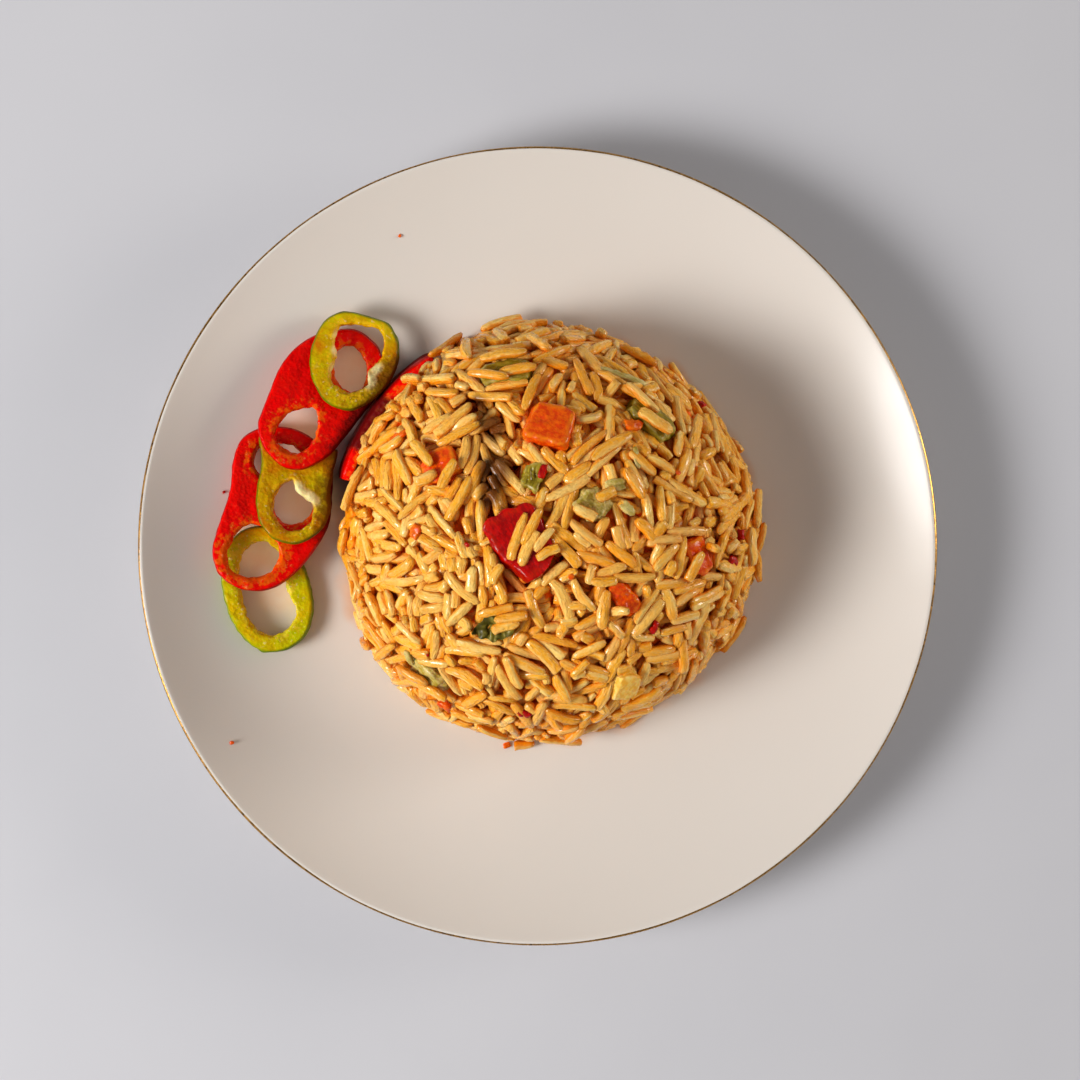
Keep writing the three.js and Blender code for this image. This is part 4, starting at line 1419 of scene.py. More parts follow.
# The grains that lie on top, as seen from above: x, y, azimuth in degrees and length.
TOP_GRAINS = (
    (-10.7, 65.3, 5, 14), (-24.6, 61.2, 177, 7.2), (-18.9, 61.5, 27, 5.5), (-20.8, 54.4, 7, 12.4),
    (-12.8, 56.5, 9, 11.8), (-12.9, 48.1, 13, 12.2), (-6.3, 51.2, 9, 11.9), (-13.2, 42.2, 172, 13.5),
    (-2.5, 42.9, 74, 13.1), (-7.9, 37.6, 155, 8.6), (-23.3, 35.1, 41, 13.4), (-28.4, 27.7, 140, 12.3),
    (-27.9, 34, 34, 10), (-35.9, 31.9, 118, 10.8), (-43.3, 29.8, 31, 14), (-40.8, 28.6, 32, 9.5),
    (-28.6, 38.3, 116, 10), (-38.9, 39.2, 135, 14), (-28.2, 46.7, 178, 14), (-26.3, 42.9, 177, 10.9),
    (-30, 53.3, 87, 14), (-27.3, 52.3, 91, 14), (-21, 25.6, 76, 10.2), (-18.1, 25.4, 77, 12.2),
    (-21.5, 13.2, 62, 14), (-12.1, 28.8, 136, 10.7), (-11.7, 22.2, 122, 14), (-10.5, 13.7, 112, 10.9),
    (-34.1, 38.4, 115, 10.9), (-45.4, 21.2, 102, 10.1), (5, 51.1, 165, 7), (5, 45.4, 62, 6.5),
    (15.9, 44.3, 100, 9.9), (12.9, 40, 141, 8.1), (9.4, 36.6, 142, 4.9), (23.9, 43.1, 145, 14),
    (12.8, 28.4, 39, 14), (15.1, 25.1, 31, 14), (18, 23.8, 41, 13.3), (10.9, 20.4, 32, 9.2),
    (20.1, 18.5, 104, 8.4), (26.5, 18.8, 117, 10.4), (14.1, 12.4, 53, 12), (5.7, 9.5, 61, 11.4),
    (9.3, 9.9, 64, 11.9), (28.9, 22.9, 139, 9.8), (34, 22.5, 150, 9.8), (35.3, 39.8, 149, 8),
    (14, 35.5, 17, 7.6), (41.2, 15.4, 143, 13.4), (31.9, 36.2, 143, 10.2), (31.9, 51, 108, 8.3),
    (39.4, 46.4, 147, 14), (-20.6, -11.2, 134, 12.7), (-37.3, -9.2, 4, 14), (-38.2, -4.7, 2, 13),
    (-32.1, -4.5, 117, 6.5), (-14.6, -7.5, 107, 6.9), (-10.5, -12.1, 110, 7), (-20.7, 0.3, 112, 7.5),
    (-5.9, -1.6, 70, 11.5), (-44.8, -18.4, 142, 14), (-50.2, -8.6, 50, 14), (-53.6, -7.2, 51, 14),
    (-35.9, -24.2, 140, 9), (-21.2, -18.4, 43, 10.4), (-20.2, -29, 1, 11.8), (-16.1, -27.7, 165, 12.6),
    (-20.4, -36.9, 158, 11.9), (-7.8, -37.5, 120, 14), (-3.5, -32.2, 155, 12.8), (-17.4, -42.9, 31, 11),
    (-7.5, -18.5, 11, 10.7), (-0.4, -17.3, 112, 11.9), (-42, 0.9, 164, 11.6), (-29.4, -14, 166, 8.7),
    (-41.2, -15.5, 111, 8), (-26, -4.3, 110, 4.9), (8.2, -0.6, 134, 12.1), (11.8, 1.7, 135, 5.8),
    (7.2, -9.4, 38, 9.2), (26.1, -9.1, 16, 12), (28.6, -3.9, 133, 11.8), (40.9, -3.1, 64, 12.3),
    (36.9, -10.4, 6, 9.8), (13.8, -20.6, 24, 8), (24.7, -24.8, 63, 10.7), (20.4, -28.1, 57, 9.1),
    (27.9, -25.9, 98, 7.6), (34, -29.6, 9, 10.5), (47.8, -15.2, 22, 14), (40.5, -19.6, 14, 9.2),
    (56.2, -6.2, 78, 10.2), (7.9, -40.7, 23, 14), (16.3, -35.7, 163, 6.7), (60.3, -9.5, 56, 14),
    (47.4, -32.2, 66, 10), (7.5, -52, 15, 10.3), (38, -23.5, 15, 8.4), (14.5, -7.7, 73, 5.6),
    (18.6, -12, 58, 5.4),
)


# The grains that lie across a vegetable, in the same terms.
COVER_GRAINS = (
    (-5.3, 2.7, 71, 13.4), (-0.6, 5.4, 69, 11.5), (-2.2, -0.6, 66, 10.5), (1.8, 2.2, 40, 8),
    (3.4, -1.8, 28, 7), (-9.2, 52.3, 8, 13.5), (-13.8, 45.4, 174, 12), (-4.8, 46.6, 12, 11),
    (27.6, 40.6, 140, 12), (36.6, 38.6, 128, 10), (31.6, 33, 146, 11), (-31.6, 25.2, 130, 10),
    (-23.4, 18.9, 64, 9), (-30, 17.8, 24, 7), (18.6, 14.4, 24, 6), (12.2, 9, 150, 7),
    (-34.4, -34.8, 150, 11), (-28.2, -39.6, 158, 10), (-6.4, -18.2, 12, 9.5), (-8, -21, 20, 8),
    (42.2, -5.6, 60, 9), (48.8, 0.2, 42, 8), (21.6, -17.6, 24, 7), (-55, 9.4, 100, 9),
    (-53.2, 0.4, 76, 9),
)


@dataclass(frozen=True)
class GrainForm:
    """The shape that every grain shares: rings of points from tail to head, blunt at both ends.

    A point is the rod's axis, bowed by a parabola, plus an ellipse whose size is the ring's girth.
    """

    sides: int = 8
    stations: tuple[float, ...] = (-1.0, -0.9, -0.58, -0.05, 0.5, 0.88, 1.0)
    girths: tuple[float, ...] = (0.36, 0.7, 0.94, 1.0, 0.95, 0.7, 0.32)
    snapped: tuple[float, ...] = (0.78, 0.95, 1.0, 1.0, 0.95, 0.7, 0.32)  # a broken grain's
    width: float = 1.06  # of its radius, across
    flatness: float = 0.8  # of its width, up
    squareness: float = 3.2  # power of the section's outline, 2 being an ellipse
    bevel: float = 0.27  # half the angle that each worn corner of the section spans, in radians
    crooked: float = 0.07  # how far the axis wanders, as a share of the radius

    def surface(self, bed: GrainBed, dome: Dome, snapped: Array, seed: int) -> Surface:
        """Shapes all the grains of a bed at once, on the real heap.

        Args:
            bed: The grains.
            dome: The heap's form.
            snapped: Which of them are broken.
            seed: Number that picks their unevenness.

        Returns:
            One surface, with its tint, streaks, depth, flanks and own coordinates as layers.
        """
        random = np.random.default_rng(seed)
        count, rings = len(bed.heads), len(self.stations)
        middle = (bed.heads + bed.tails) / 2.0
        along = unit(bed.heads - bed.tails)
        half = np.linalg.norm(bed.heads - bed.tails, axis=1) / 2.0 + bed.radius
        side = unit(np.cross(along, dome.facing(middle)))
        up = np.cross(side, along)
        roll = random.normal(0.0, 0.5, count)[:, None]
        side, up = side * np.cos(roll) + up * np.sin(roll), up * np.cos(roll) - side * np.sin(roll)
        share = np.array(self.stations)[None, :, None, None]
        girth = np.where(snapped[:, None], np.array(self.snapped), np.array(self.girths))
        girth = girth * random.uniform(0.97, 1.03, (count, rings))
        swap = random.random(count) < 0.5
        girth[swap] = girth[swap, ::-1]
        girth[:, [0, -1]] *= random.uniform(0.55, 1.25, (count, 2))
        line = 0.88 * random.random((count, 1, self.sides))
        line = line + 0.12 * random.random((count, rings, self.sides))
        corner = np.arange(self.sides)
        turn = TURN / 8.0 + TURN / 4.0 * (corner // 2) + self.bevel * (2 * (corner % 2) - 1)
        turn = turn[None, None, :, None]
        cos, sin, power = np.cos(turn), np.sin(turn), self.squareness
        squared = (np.abs(cos) ** power + np.abs(sin) ** power) ** (-1.0 / power)
        side, up = side[:, None, None], up[:, None, None]
        rim = squared * (cos * side + sin * up * self.flatness)
        reach, radius = half[:, None, None, None], bed.radius[:, None, None, None]
        wide = radius * self.width * random.uniform(0.95, 1.08, (count, 1, 1, 1))
        bow = reach * random.normal(0.0, 0.07, (count, 1, 1, 1)) * (1.0 - share**2) * side
        lift = reach * random.normal(0.0, 0.03, (count, 1, 1, 1)) * (1.0 - share**2) * up
        axis = dome.settled(middle)[:, None, None] + along[:, None, None] * share * reach
        axis = axis + random.normal(0.0, self.crooked, (count, rings, 1, 3)) * radius
        places = axis + bow + lift + rim * wide * girth[:, :, None, None] * (0.88 + 0.24 * line[..., None])
        points = places.reshape(-1, 3)
        tint = np.repeat(random.random(count), rings * self.sides)
        own = np.stack(np.broadcast_arrays(share * reach, cos, sin), axis=-1).reshape(-1, 3)
        out = dome.facing(dome.unsettled(points))
        surface = Surface(points, self.faces(count))
        surface.layers["tint"] = tint
        # pale streaks along the grains, partly painted highlight
        surface.layers["streak"] = line.reshape(-1)
        surface.layers["depth"] = dome.depth(dome.unsettled(points))
        surface.layers["grain_space"] = own + tint[:, None] * (97.0, 31.0, 53.0)
        # painted shade: how far each point turns from the heap's outside
        surface.layers["flank"] = 0.5 - 0.5 * (surface.normals() * out).sum(axis=1)
        away = unit(points - np.repeat(dome.settled(middle), rings * self.sides, axis=0))
        surface.points = points + away * (0.05 * ripple(points, 1.8, seed))[:, None]
        return surface

    def faces(self, count: int) -> Array:
        """The quads of that many grains: bands between the rings, and three quads over each end."""
        rings, sides = len(self.stations), self.sides
        numbers = np.arange(rings * sides).reshape(rings, sides)
        low, high = numbers[:-1], numbers[1:]
        corners = [low, high, np.roll(high, -1, axis=1), np.roll(low, -1, axis=1)]
        bands = np.stack(corners, axis=-1).reshape(-1, 4)
        lid = np.array([[0, 1, 2, 3], [0, 3, 4, 7], [4, 5, 6, 7]])
        one = np.concatenate([bands, lid, numbers[-1][lid[:, ::-1]]])
        return (one[None] + (np.arange(count) * rings * sides)[:, None, None]).reshape(-1, 4)


@dataclass(frozen=True)
class RiceHeap:
    """The dome of rice: a dark core, a packed shell of grains and grains that lie loose on top."""

    dome: Dome = Dome()
    packing: RicePacking = RicePacking()
    form: GrainForm = GrainForm()
    loose: int = 70  # grains tried on top of the others
    clearing: float = 11.0  # how far they stay from the middle of a vegetable
    top_lift: float = 0.5  # of a known grain's axis off the bare heap
    cover_lift: float = 3.4  # of one that lies across another piece
    known_radius: float = 1.42
    short: float = 8.0  # length under which a grain counts as broken
    seed: int = 4
    spilled: Rows = (  # on the plate: x, y, azimuth and length
        (30.6, -50.0, 39.0, 14.6), (51.3, -30.6, 20.0, 5.5), (-3.8, -58.2, 8.0, 6.0),
        (57.6, -19.4, 70.0, 6.5),
    )
    crevices: Rows = (  # x, y, radius and depth of the dark gaps: they sink the core and paint shade on the grains there
        (-12.0, 20.5, 5.8, 6.0), (-12.5, 33.0, 4.8, 5.5), (-16.5, 40.0, 3.5, 4.5), (-13.5, 12.5, 3.8, 4.0),
        (23.0, 46.0, 4.5, 3.0), (31.0, -22.0, 4.0, 3.0), (-6.0, -10.5, 4.0, 2.5), (11.0, 50.0, 4.0, 2.5),
        (-20.0, -33.0, 4.0, 2.5), (44.0, 8.0, 4.0, 2.5),
    )

    def known_grains(self, rows: Array, lift: float) -> GrainBed:
        """Lays the grains that are known from above along the surface, with their axes lifted off it."""
        points = self.dome.above(rows[:, 0], rows[:, 1])
        out = self.dome.facing(points)
        azimuth = np.radians(rows[:, 2])
        rise = -(out[:, 0] * np.cos(azimuth) + out[:, 1] * np.sin(azimuth)) / np.maximum(out[:, 2], 0.35)
        along = unit(np.stack([np.cos(azimuth), np.sin(azimuth), rise], axis=1))
        radius = np.full(len(rows), self.known_radius)
        return GrainBed.laid(points + out * lift, along, rows[:, 3], radius, 0.15)

    def packed(self) -> tuple[GrainBed, Array]:
        """Packs the shell, then drops the loose grains onto it.

        Returns:
            The grains, and which of them lie loose on top.
        """
        random = np.random.default_rng(self.seed)
        cover = self.known_grains(np.array(COVER_GRAINS, float), self.cover_lift)
        bed = self.known_grains(np.array(TOP_GRAINS, float), self.top_lift)
        bed = self.packing.sown(bed.with_more(cover), self.dome, random)
        over = np.zeros(len(bed.heads), bool)
        over[len(TOP_GRAINS):len(TOP_GRAINS) + len(COVER_GRAINS)] = True
        bed = self.packing.relaxed(bed, self.dome, over, self.packing.rounds, 0.05)
        bed.ease[:] = 0.0
        points = self.dome.spiral(self.loose, -3.2) + random.normal(0.0, 4.0, (self.loose, 3))
        points = self.dome.onto(points)
        points += self.dome.facing(points) * self.cover_lift
        points[:, 2] = np.maximum(points[:, 2], 2.0)
        across = self.dome.settled(points)[:, None, :2] - np.array([piece.place for piece in VEGETABLES])
        clear = (np.linalg.norm(across, axis=2) > self.clearing).all(axis=1)
        scattered = self.packing.drawn(points[clear], self.dome, random)
        bed = bed.with_more(scattered)
        over = np.concatenate([over, np.ones(clear.sum(), bool)])
        bed = self.packing.relaxed(bed, self.dome, over, 60, 0.12)
        over = np.concatenate([over, np.ones(len(self.spilled), bool)])
        return bed.with_more(self.spilled_grains()), over

    def spilled_grains(self) -> GrainBed:
        """Lays the grains that have fallen onto the plate beside the heap."""
        rows = np.array(self.spilled)
        radius = np.full(len(rows), 1.4)
        points = np.column_stack([rows[:, :2] - self.dome.centre, radius - 0.1])
        azimuth = np.radians(rows[:, 2])
        along = np.stack([np.cos(azimuth), np.sin(azimuth), 0.0 * azimuth], axis=1)
        return GrainBed.laid(points, along, rows[:, 3], radius, 0.0)

    def gap_depth(self, points: Array) -> Array:
        """How much deeper the gaps are at each point of the real heap, from its list of crevices."""
        deeper = np.zeros(points.shape[:-1])
        for x, y, radius, depth in self.crevices:
            deeper += depth * np.exp(-((points[..., 0] - x) ** 2 + (points[..., 1] - y) ** 2) / radius**2)
        return deeper

    def blunt(self, length: Array, seed: int) -> Array:
        """Which grains have one end cut or snapped off: all the short ones and some of the others."""
        return (length < self.short) | (np.random.default_rng(seed + 50).random(len(length)) < 0.45)

    def core(self) -> Surface:
        """The heap's inside: the dome drawn in under the shell, with lumps as large as grains."""
        rise = np.linspace(0.0, math.pi / 2.0 - 0.02, 110)[:, None]
        azimuth = np.linspace(0.0, TURN, 340, endpoint=False)[None, :]
        level = np.cos(rise)
        ways = np.stack([level * np.cos(azimuth), level * np.sin(azimuth), np.sin(rise) + 0 * azimuth], -1)
        places = self.dome.onto(ways)
        inset = 3.0 - 0.8 * ripple(places, 4.0, 3, 16) + 2.0 * np.clip(ripple(places, 26.0, 12), 0.0, 1.0)
        inset += self.gap_depth(self.dome.settled(places))
        places = places - self.dome.facing(places) * inset[..., None]
        places[0, :, 2] = 0.1
        core = Surface.over_closed_grid(self.dome.settled(places)).facing_out()
        core.layers["depth"] = np.concatenate([inset.ravel(), [3.0, 3.0]])
        return core

    def build(self) -> None:
        """Makes the core and the grains, one piece for each kind."""
        self.core().made("rice_core", RICE_CORE, ("rice",))
        bed, over = self.packed()
        length = np.linalg.norm(bed.heads - bed.tails, axis=1) + 2.0 * bed.radius
        broken = (length < self.short) & ~over
        LOG.info("grains: %d, of them %d broken and %d loose", len(length), broken.sum(), over.sum())
        kinds = (("rice_grains", ~broken & ~over), ("broken_grains", broken), ("loose_grains", over))
        for seed, (name, picked) in enumerate(kinds, 1):
            surface = self.form.surface(bed.only(picked), self.dome, self.blunt(length[picked], seed), seed)
            deeper = self.gap_depth(surface.points)
            # painted shade: grains in the crevices are coloured deeper and browner
            surface.layers["depth"] += 0.45 * deeper * (name != "loose_grains")
            surface.layers["stain"] = np.clip(deeper / 5.0, 0.0, 1.0)
            surface.made(name, RICE)


# ---------- flakes and crumbs ----------
@dataclass(frozen=True)
class Scraps:
    """Flakes or crumbs of one kind: small worn blocks, joined into one piece.

    Attributes:
        name: The piece's name.
        finish: What they are made of.
        rows: For each its x, y, turn in degrees, length, width and thickness.
        on_heap: Whether they lie on the heap, or else on the glaze.
    """

    name: str
    finish: Finish
    rows: Rows
    on_heap: bool = True
    lift: float = 0.9  # of their middles above the bare heap

    def build(self, dome: Dome, plate: CoupePlate, seed: int) -> None:
        """Shapes each block with its own unevenness and lays it down.

        Args:
            dome: The heap's form.
            plate: The plate, on whose glaze crumbs lie.
            seed: Number that picks the first block's unevenness.
        """
        blocks = []
        for number, (x, y, spin, *size) in enumerate(self.rows):
            block = rounded_block(tuple(size), 4.0, 12, 18)
            worn = 0.16 * min(size) * ripple(block.points, 1.6, seed + number)
            block.points = block.points + unit(block.points) * worn[:, None]
            block.layers["own"] = block.points.copy()
            block.layers["edge"] = np.full(len(block.points), 0.4)
            origin, axes = dome.frame_at(x, y, spin, self.lift)
            if not self.on_heap:
                cos, sin = math.cos(math.radians(spin)), math.sin(math.radians(spin))
                axes = np.array([[cos, sin, 0], [-sin, cos, 0], [0, 0, 1]])
                origin = np.array([x, y, plate.glaze_height(math.hypot(x, y)) + 0.4 * size[2]])
            block.points = block.points @ axes + origin
            blocks.append(block)
        Surface.joined(blocks).made(self.name, self.finish)


SCRAPS = (
    Scraps("red_flakes", COOKED_RED, (
        (-3.7, -46.2, -20, 4.2, 2.4, 1.8), (46.4, 40.1, 80, 3.8, 2, 1.8), (56.8, 3.1, 10, 3.4, 2.2, 1.8),
        (54.2, -4.3, 70, 4.4, 2.4, 1.8), (31.9, -22.2, 20, 3.6, 2, 1.8), (1.4, 20.3, 70, 4.2, 2, 1.8),
        (-19.2, 0.4, 30, 1.6, 1.1, 1), (12.6, -33, 60, 1.8, 1.1, 1), (-30.4, -29.6, 10, 1.7, 1.2, 1),
    )),
    Scraps("orange_flakes", CARROT, (
        (-33.2, 4.1, -30, 4.2, 3, 1.8), (26.3, 33.2, 40, 5.2, 3, 1.8), (-26, -44.6, 10, 3.8, 3.2, 1.8),
        (-38.5, 30.5, 140, 6.0, 2.2, 1.2), (9.2, -8.2, 20, 1.8, 1.2, 1.0), (38.4, 20.2, 70, 2.0, 1.2, 1.0),
    )),
    Scraps("green_flakes", PALE_GREEN, (
        (23.8, 46.8, 10, 14, 2.2, 1.8), (21.4, 16.8, 60, 5.5, 3.4, 2.0), (24.6, 10.2, 30, 4.2, 2.6, 1.8),
        (27.0, 24.2, 146, 6.0, 1.8, 1.4), (-35.6, -31.0, 150, 5.0, 2.0, 1.4),
    )),
    Scraps("orange_crumbs", CARROT, (
        (-9, -58.6, 20, 2.2, 1.6, 1.2), (-40, 90.1, 60, 1, 0.8, 0.6), (-88.4, -57, 10, 1.2, 0.9, 0.6),
    ), on_heap=False),
    Scraps("red_crumbs", COOKED_RED, (
        (-91.4, 15.7, 30, 1.0, 0.7, 0.5), (-88.2, 13.0, 80, 0.7, 0.5, 0.4),
    ), on_heap=False),
)


# ---------- the pepper slices ----------
@dataclass(frozen=True)
class PepperSlice:
    """A slice cut across a small raw pepper, as one wall round one or two seed chambers.

    Its outlines and the plane that it rests on are read from the solid that it stands for.
    """

    node: str
    finish: Finish
    spacing: float = 0.5  # of the points round an outline
    inner_spacing: float = 1.1  # of the points on the cut faces
    thickness: float = 4.2
    tags: Rows = ()  # pale tags of pith: x, y and radius
    insets: tuple[float, ...] = (1.15, 0.72, 0.38, 0.15, 0.03, -0.08, -0.14)  # of the wall, going down
    drops: tuple[float, ...] = (0.0, 0.05, 0.2, 0.46, 0.86, 1.4, 2.1)  # below the cut face, to half way
    uneven: float = 0.16  # of the cut faces
    wavy: float = 0.12  # of the rims
    frayed: float = 0.22  # of the chambers' edges

    def rings(self) -> tuple[list[Array], Array]:
        """Reads the outlines and the middle plane from the solid.

        Returns:
            The outlines, the outer one first, and the plane's slopes along x and y and its height.
        """
        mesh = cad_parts[self.node].data
        flat = np.empty(len(mesh.vertices) * 3)
        mesh.vertices.foreach_get("co", flat)
        mesh.calc_loop_triangles()
        corners = np.empty(len(mesh.loop_triangles) * 3, np.int32)
        mesh.loop_triangles.foreach_get("vertices", corners)
        points, index = np.unique(np.round(flat.reshape(-1, 3) / MM, 3), axis=0, return_inverse=True)
        triangles = index.reshape(-1)[corners].reshape(-1, 3)
        matrix = np.column_stack([points[:, :2], np.ones(len(points))])
        plane = np.linalg.lstsq(matrix, points[:, 2], rcond=None)[0]
        top = points[:, 2] > matrix @ plane
        walls = triangles[top[triangles].sum(axis=1) == 1]
        follows = {}
        for wall in walls:
            start = int(np.nonzero(top[wall])[0][0])
            follows[int(wall[(start + 1) % 3])] = int(wall[(start + 2) % 3])
        found = []
        while follows:
            ring = [next(iter(follows))]
            while ring[-1] in follows:
                ring.append(follows.pop(ring[-1]))
            found.append(points[ring[:-1], :2])
        found.sort(key=lambda ring: -abs(self.area(ring)))
        return [self.evened(ring) for ring in found], plane

    @staticmethod
    def area(ring: Array) -> float:
        """Area inside an outline, negative where it runs clockwise."""
        after = np.roll(ring, -1, axis=0)
        return float((ring[:, 0] * after[:, 1] - ring[:, 1] * after[:, 0]).sum() / 2.0)

    def evened(self, ring: Array) -> Array:
        """Runs a smooth curve through an outline, anticlockwise, with its points evenly spaced.

        Args:
            ring: The outline's corners. The curve between two is a cubic that passes both, with the
                slope at each corner being that of the line between its neighbours.

        Returns:
            The points of the curve.
        """
        if self.area(ring) < 0.0:
            ring = ring[::-1]
        before, after, beyond = (np.roll(ring, shift, axis=0) for shift in (1, -1, -2))
        t = np.linspace(0.0, 1.0, 8, endpoint=False)[None, :, None]
        a, b, c, d = (p[:, None, :] for p in (before, ring, after, beyond))
        curve = 0.5 * (
            2 * b + (c - a) * t + (2 * a - 5 * b + 4 * c - d) * t**2 + (3 * b - a - 3 * c + d) * t**3
        )
        curve = curve.reshape(-1, 2)
        closed = np.concatenate([curve, curve[:1]])
        run = np.concatenate([[0.0], np.cumsum(np.linalg.norm(np.diff(closed, axis=0), axis=1))])
        places = np.linspace(0.0, run[-1], round(run[-1] / self.spacing), endpoint=False)
        return np.stack([np.interp(places, run, closed[:, axis]) for axis in (0, 1)], axis=1)

    @staticmethod
    def inward(ring: Array) -> Array:
        """The way into an anticlockwise outline at each of its points."""
        along = unit(np.roll(ring, -1, axis=0) - np.roll(ring, 1, axis=0))
        return np.stack([-along[:, 1], along[:, 0]], axis=1)

    @staticmethod
    def within(ring: Array, places: Array) -> Array:
        """Which places lie inside an outline: those from which a ray crosses it an odd number of times."""
        after = np.roll(ring, -1, axis=0)
        x, y = places[:, 0, None], places[:, 1, None]
        spans = (ring[:, 1] > y) != (after[:, 1] > y)
        rise = np.where(after[:, 1] == ring[:, 1], 1e-9, after[:, 1] - ring[:, 1])
        meets = ring[:, 0] + (after[:, 0] - ring[:, 0]) * (y - ring[:, 1]) / rise
        return (spans & (x < meets)).sum(axis=1) % 2 == 1

    @staticmethod
    def distance(ring: Array, places: Array) -> Array:
        """Distance of each place from the nearest point of an outline."""
        return np.sqrt(((places[:, None, :] - ring[None]) ** 2).sum(axis=-1).min(axis=1))

    def cut_face(self, loops: list[Array]) -> tuple[Array, Array]:
        """Fills a cut face between its outlines with near-equal triangles.

        Args:
            loops: The outlines, the outer one first.

        Returns:
            The places, and the triangles between them.
        """
        low, high = loops[0].min(axis=0), loops[0].max(axis=0)
        columns = np.arange(low[0], high[0], self.inner_spacing)
        rows = np.arange(low[1], high[1], self.inner_spacing * 0.87)
        x, y = np.meshgrid(columns, rows)
        x = x + (np.arange(len(rows)) % 2)[:, None] * self.inner_spacing / 2.0
        spread = np.stack([x.ravel(), y.ravel()], axis=1)
        keep = self.within(loops[0], spread) & (self.distance(loops[0], spread) > 0.5)
        for loop in loops[1:]:
            keep &= ~self.within(loop, spread) & (self.distance(loop, spread) > 0.5)
        places = np.concatenate([*loops, spread[keep]])
        edges, start = [], 0
        for loop in loops:
            numbers = np.arange(len(loop)) + start
            edges += [(int(a), int(b)) for a, b in zip(numbers, np.roll(numbers, -1))]
            start += len(loop)
        made = delaunay_2d_cdt([Vector(p) for p in places], edges, [], 1, 1e-5, True)
        extra = [i for i, origin in enumerate(made[3]) if not origin]
        places = np.concatenate([places, np.array([made[0][i] for i in extra]).reshape(-1, 2)])
        source = np.array([origin[0] if origin else 0 for origin in made[3]])
        source[extra] = len(places) - len(extra) + np.arange(len(extra))
        triangles = source[np.array([face for face in made[2] if len(face) == 3])]
        centres = places[triangles].mean(axis=1)
        keep = self.within(loops[0], centres)
        for loop in loops[1:]:
            keep &= ~self.within(loop, centres)
        return places, triangles[keep]

    def build(self, dome: Dome, seed: int) -> None:
        """Makes the slice: a rounded wall along each outline and two cut faces, laid on its plane.

        Args:
            dome: The heap's form, which lays painted shade on the side that is turned to it.
            seed: Number that picks the slice's unevenness.
        """
        rings, plane = self.rings()
        insets = np.array(self.insets + self.insets[-2::-1])
        half = self.thickness / 2.0
        heights = np.array(self.drops)
        heights = np.concatenate([half - heights, (heights - half)[-2::-1]])
        parts, loops = [], []
        for number, ring in enumerate(rings):
            room = np.min([self.distance(other, ring) for other in rings if other is not ring], axis=0)
            way = self.inward(ring) * (1.0 if number == 0 else -1.0)
            way *= np.clip(room * 0.36 / insets[0], 0.1, 1.0)[:, None]
            way = np.mean([np.roll(way, step, axis=0) for step in range(-3, 4)], axis=0)
            flat = ring[None] + way[None] * insets[:, None, None]
            levels = np.broadcast_to(heights[:, None, None], (*flat.shape[:2], 1))
            rows = np.concatenate([flat, levels], axis=-1)
            parts.append(Surface.over_grid(rows if number == 0 else rows[::-1]))
            loops.append(flat[0])
        places, triangles = self.cut_face(loops)
        for height, order in ((half, (0, 1, 2)), (-half, (2, 1, 0))):
            points = np.column_stack([places, np.full(len(places), height)])
            parts.append(Surface(points, triangles=triangles[:, order]))
        surface = Surface.joined(parts).welded()
        flat = surface.points[:, :2]
        surface.layers["from_skin"] = self.distance(rings[0], flat)
        surface.layers["from_chamber"] = np.min([self.distance(ring, flat) for ring in rings[1:]], axis=0)
        surface.layers["pith"] = np.zeros(len(flat))
        for x, y, radius in self.tags:
            near = np.exp(-((flat[:, 0] - x) ** 2 + (flat[:, 1] - y) ** 2) / radius**2)
            near *= np.clip(2.0 - surface.layers["from_chamber"] / 1.6, 0.0, 1.0)
            surface.layers["pith"] = np.maximum(surface.layers["pith"], near)
        # painted shade on the side turned to the heap
        surface.layers["soaked"] = dome.heap_shade(flat, seed)
        inner = np.minimum(surface.layers["from_skin"], surface.layers["from_chamber"])
        worn = np.clip(inner / 1.2, 0.0, 1.0) * np.sign(surface.points[:, 2])
        surface.points[:, 2] += self.uneven * worn * ripple(surface.points, 3.2, seed)
        surface.points[:, 2] += 0.5 * surface.layers["pith"] * (surface.points[:, 2] > 0.0)
        rim = 1.0 - np.clip(inner, 0, 1)
        surface.points[:, :2] += (self.wavy * ripple(surface.points, 4.0, seed + 1) * rim)[:, None]
        frayed = self.frayed * np.clip(1.0 - surface.layers["from_chamber"] / 1.3, 0.0, 1.0)
        surface.points[:, 0] += frayed * ripple(surface.points, 2.3, seed + 2)
        surface.points[:, 1] += frayed * ripple(surface.points, 2.3, seed + 3)
        surface.points[:, 2] += flat @ plane[:2] + plane[2]
        surface.facing_out().made(f"{self.node}_cut", self.finish, (self.node,))


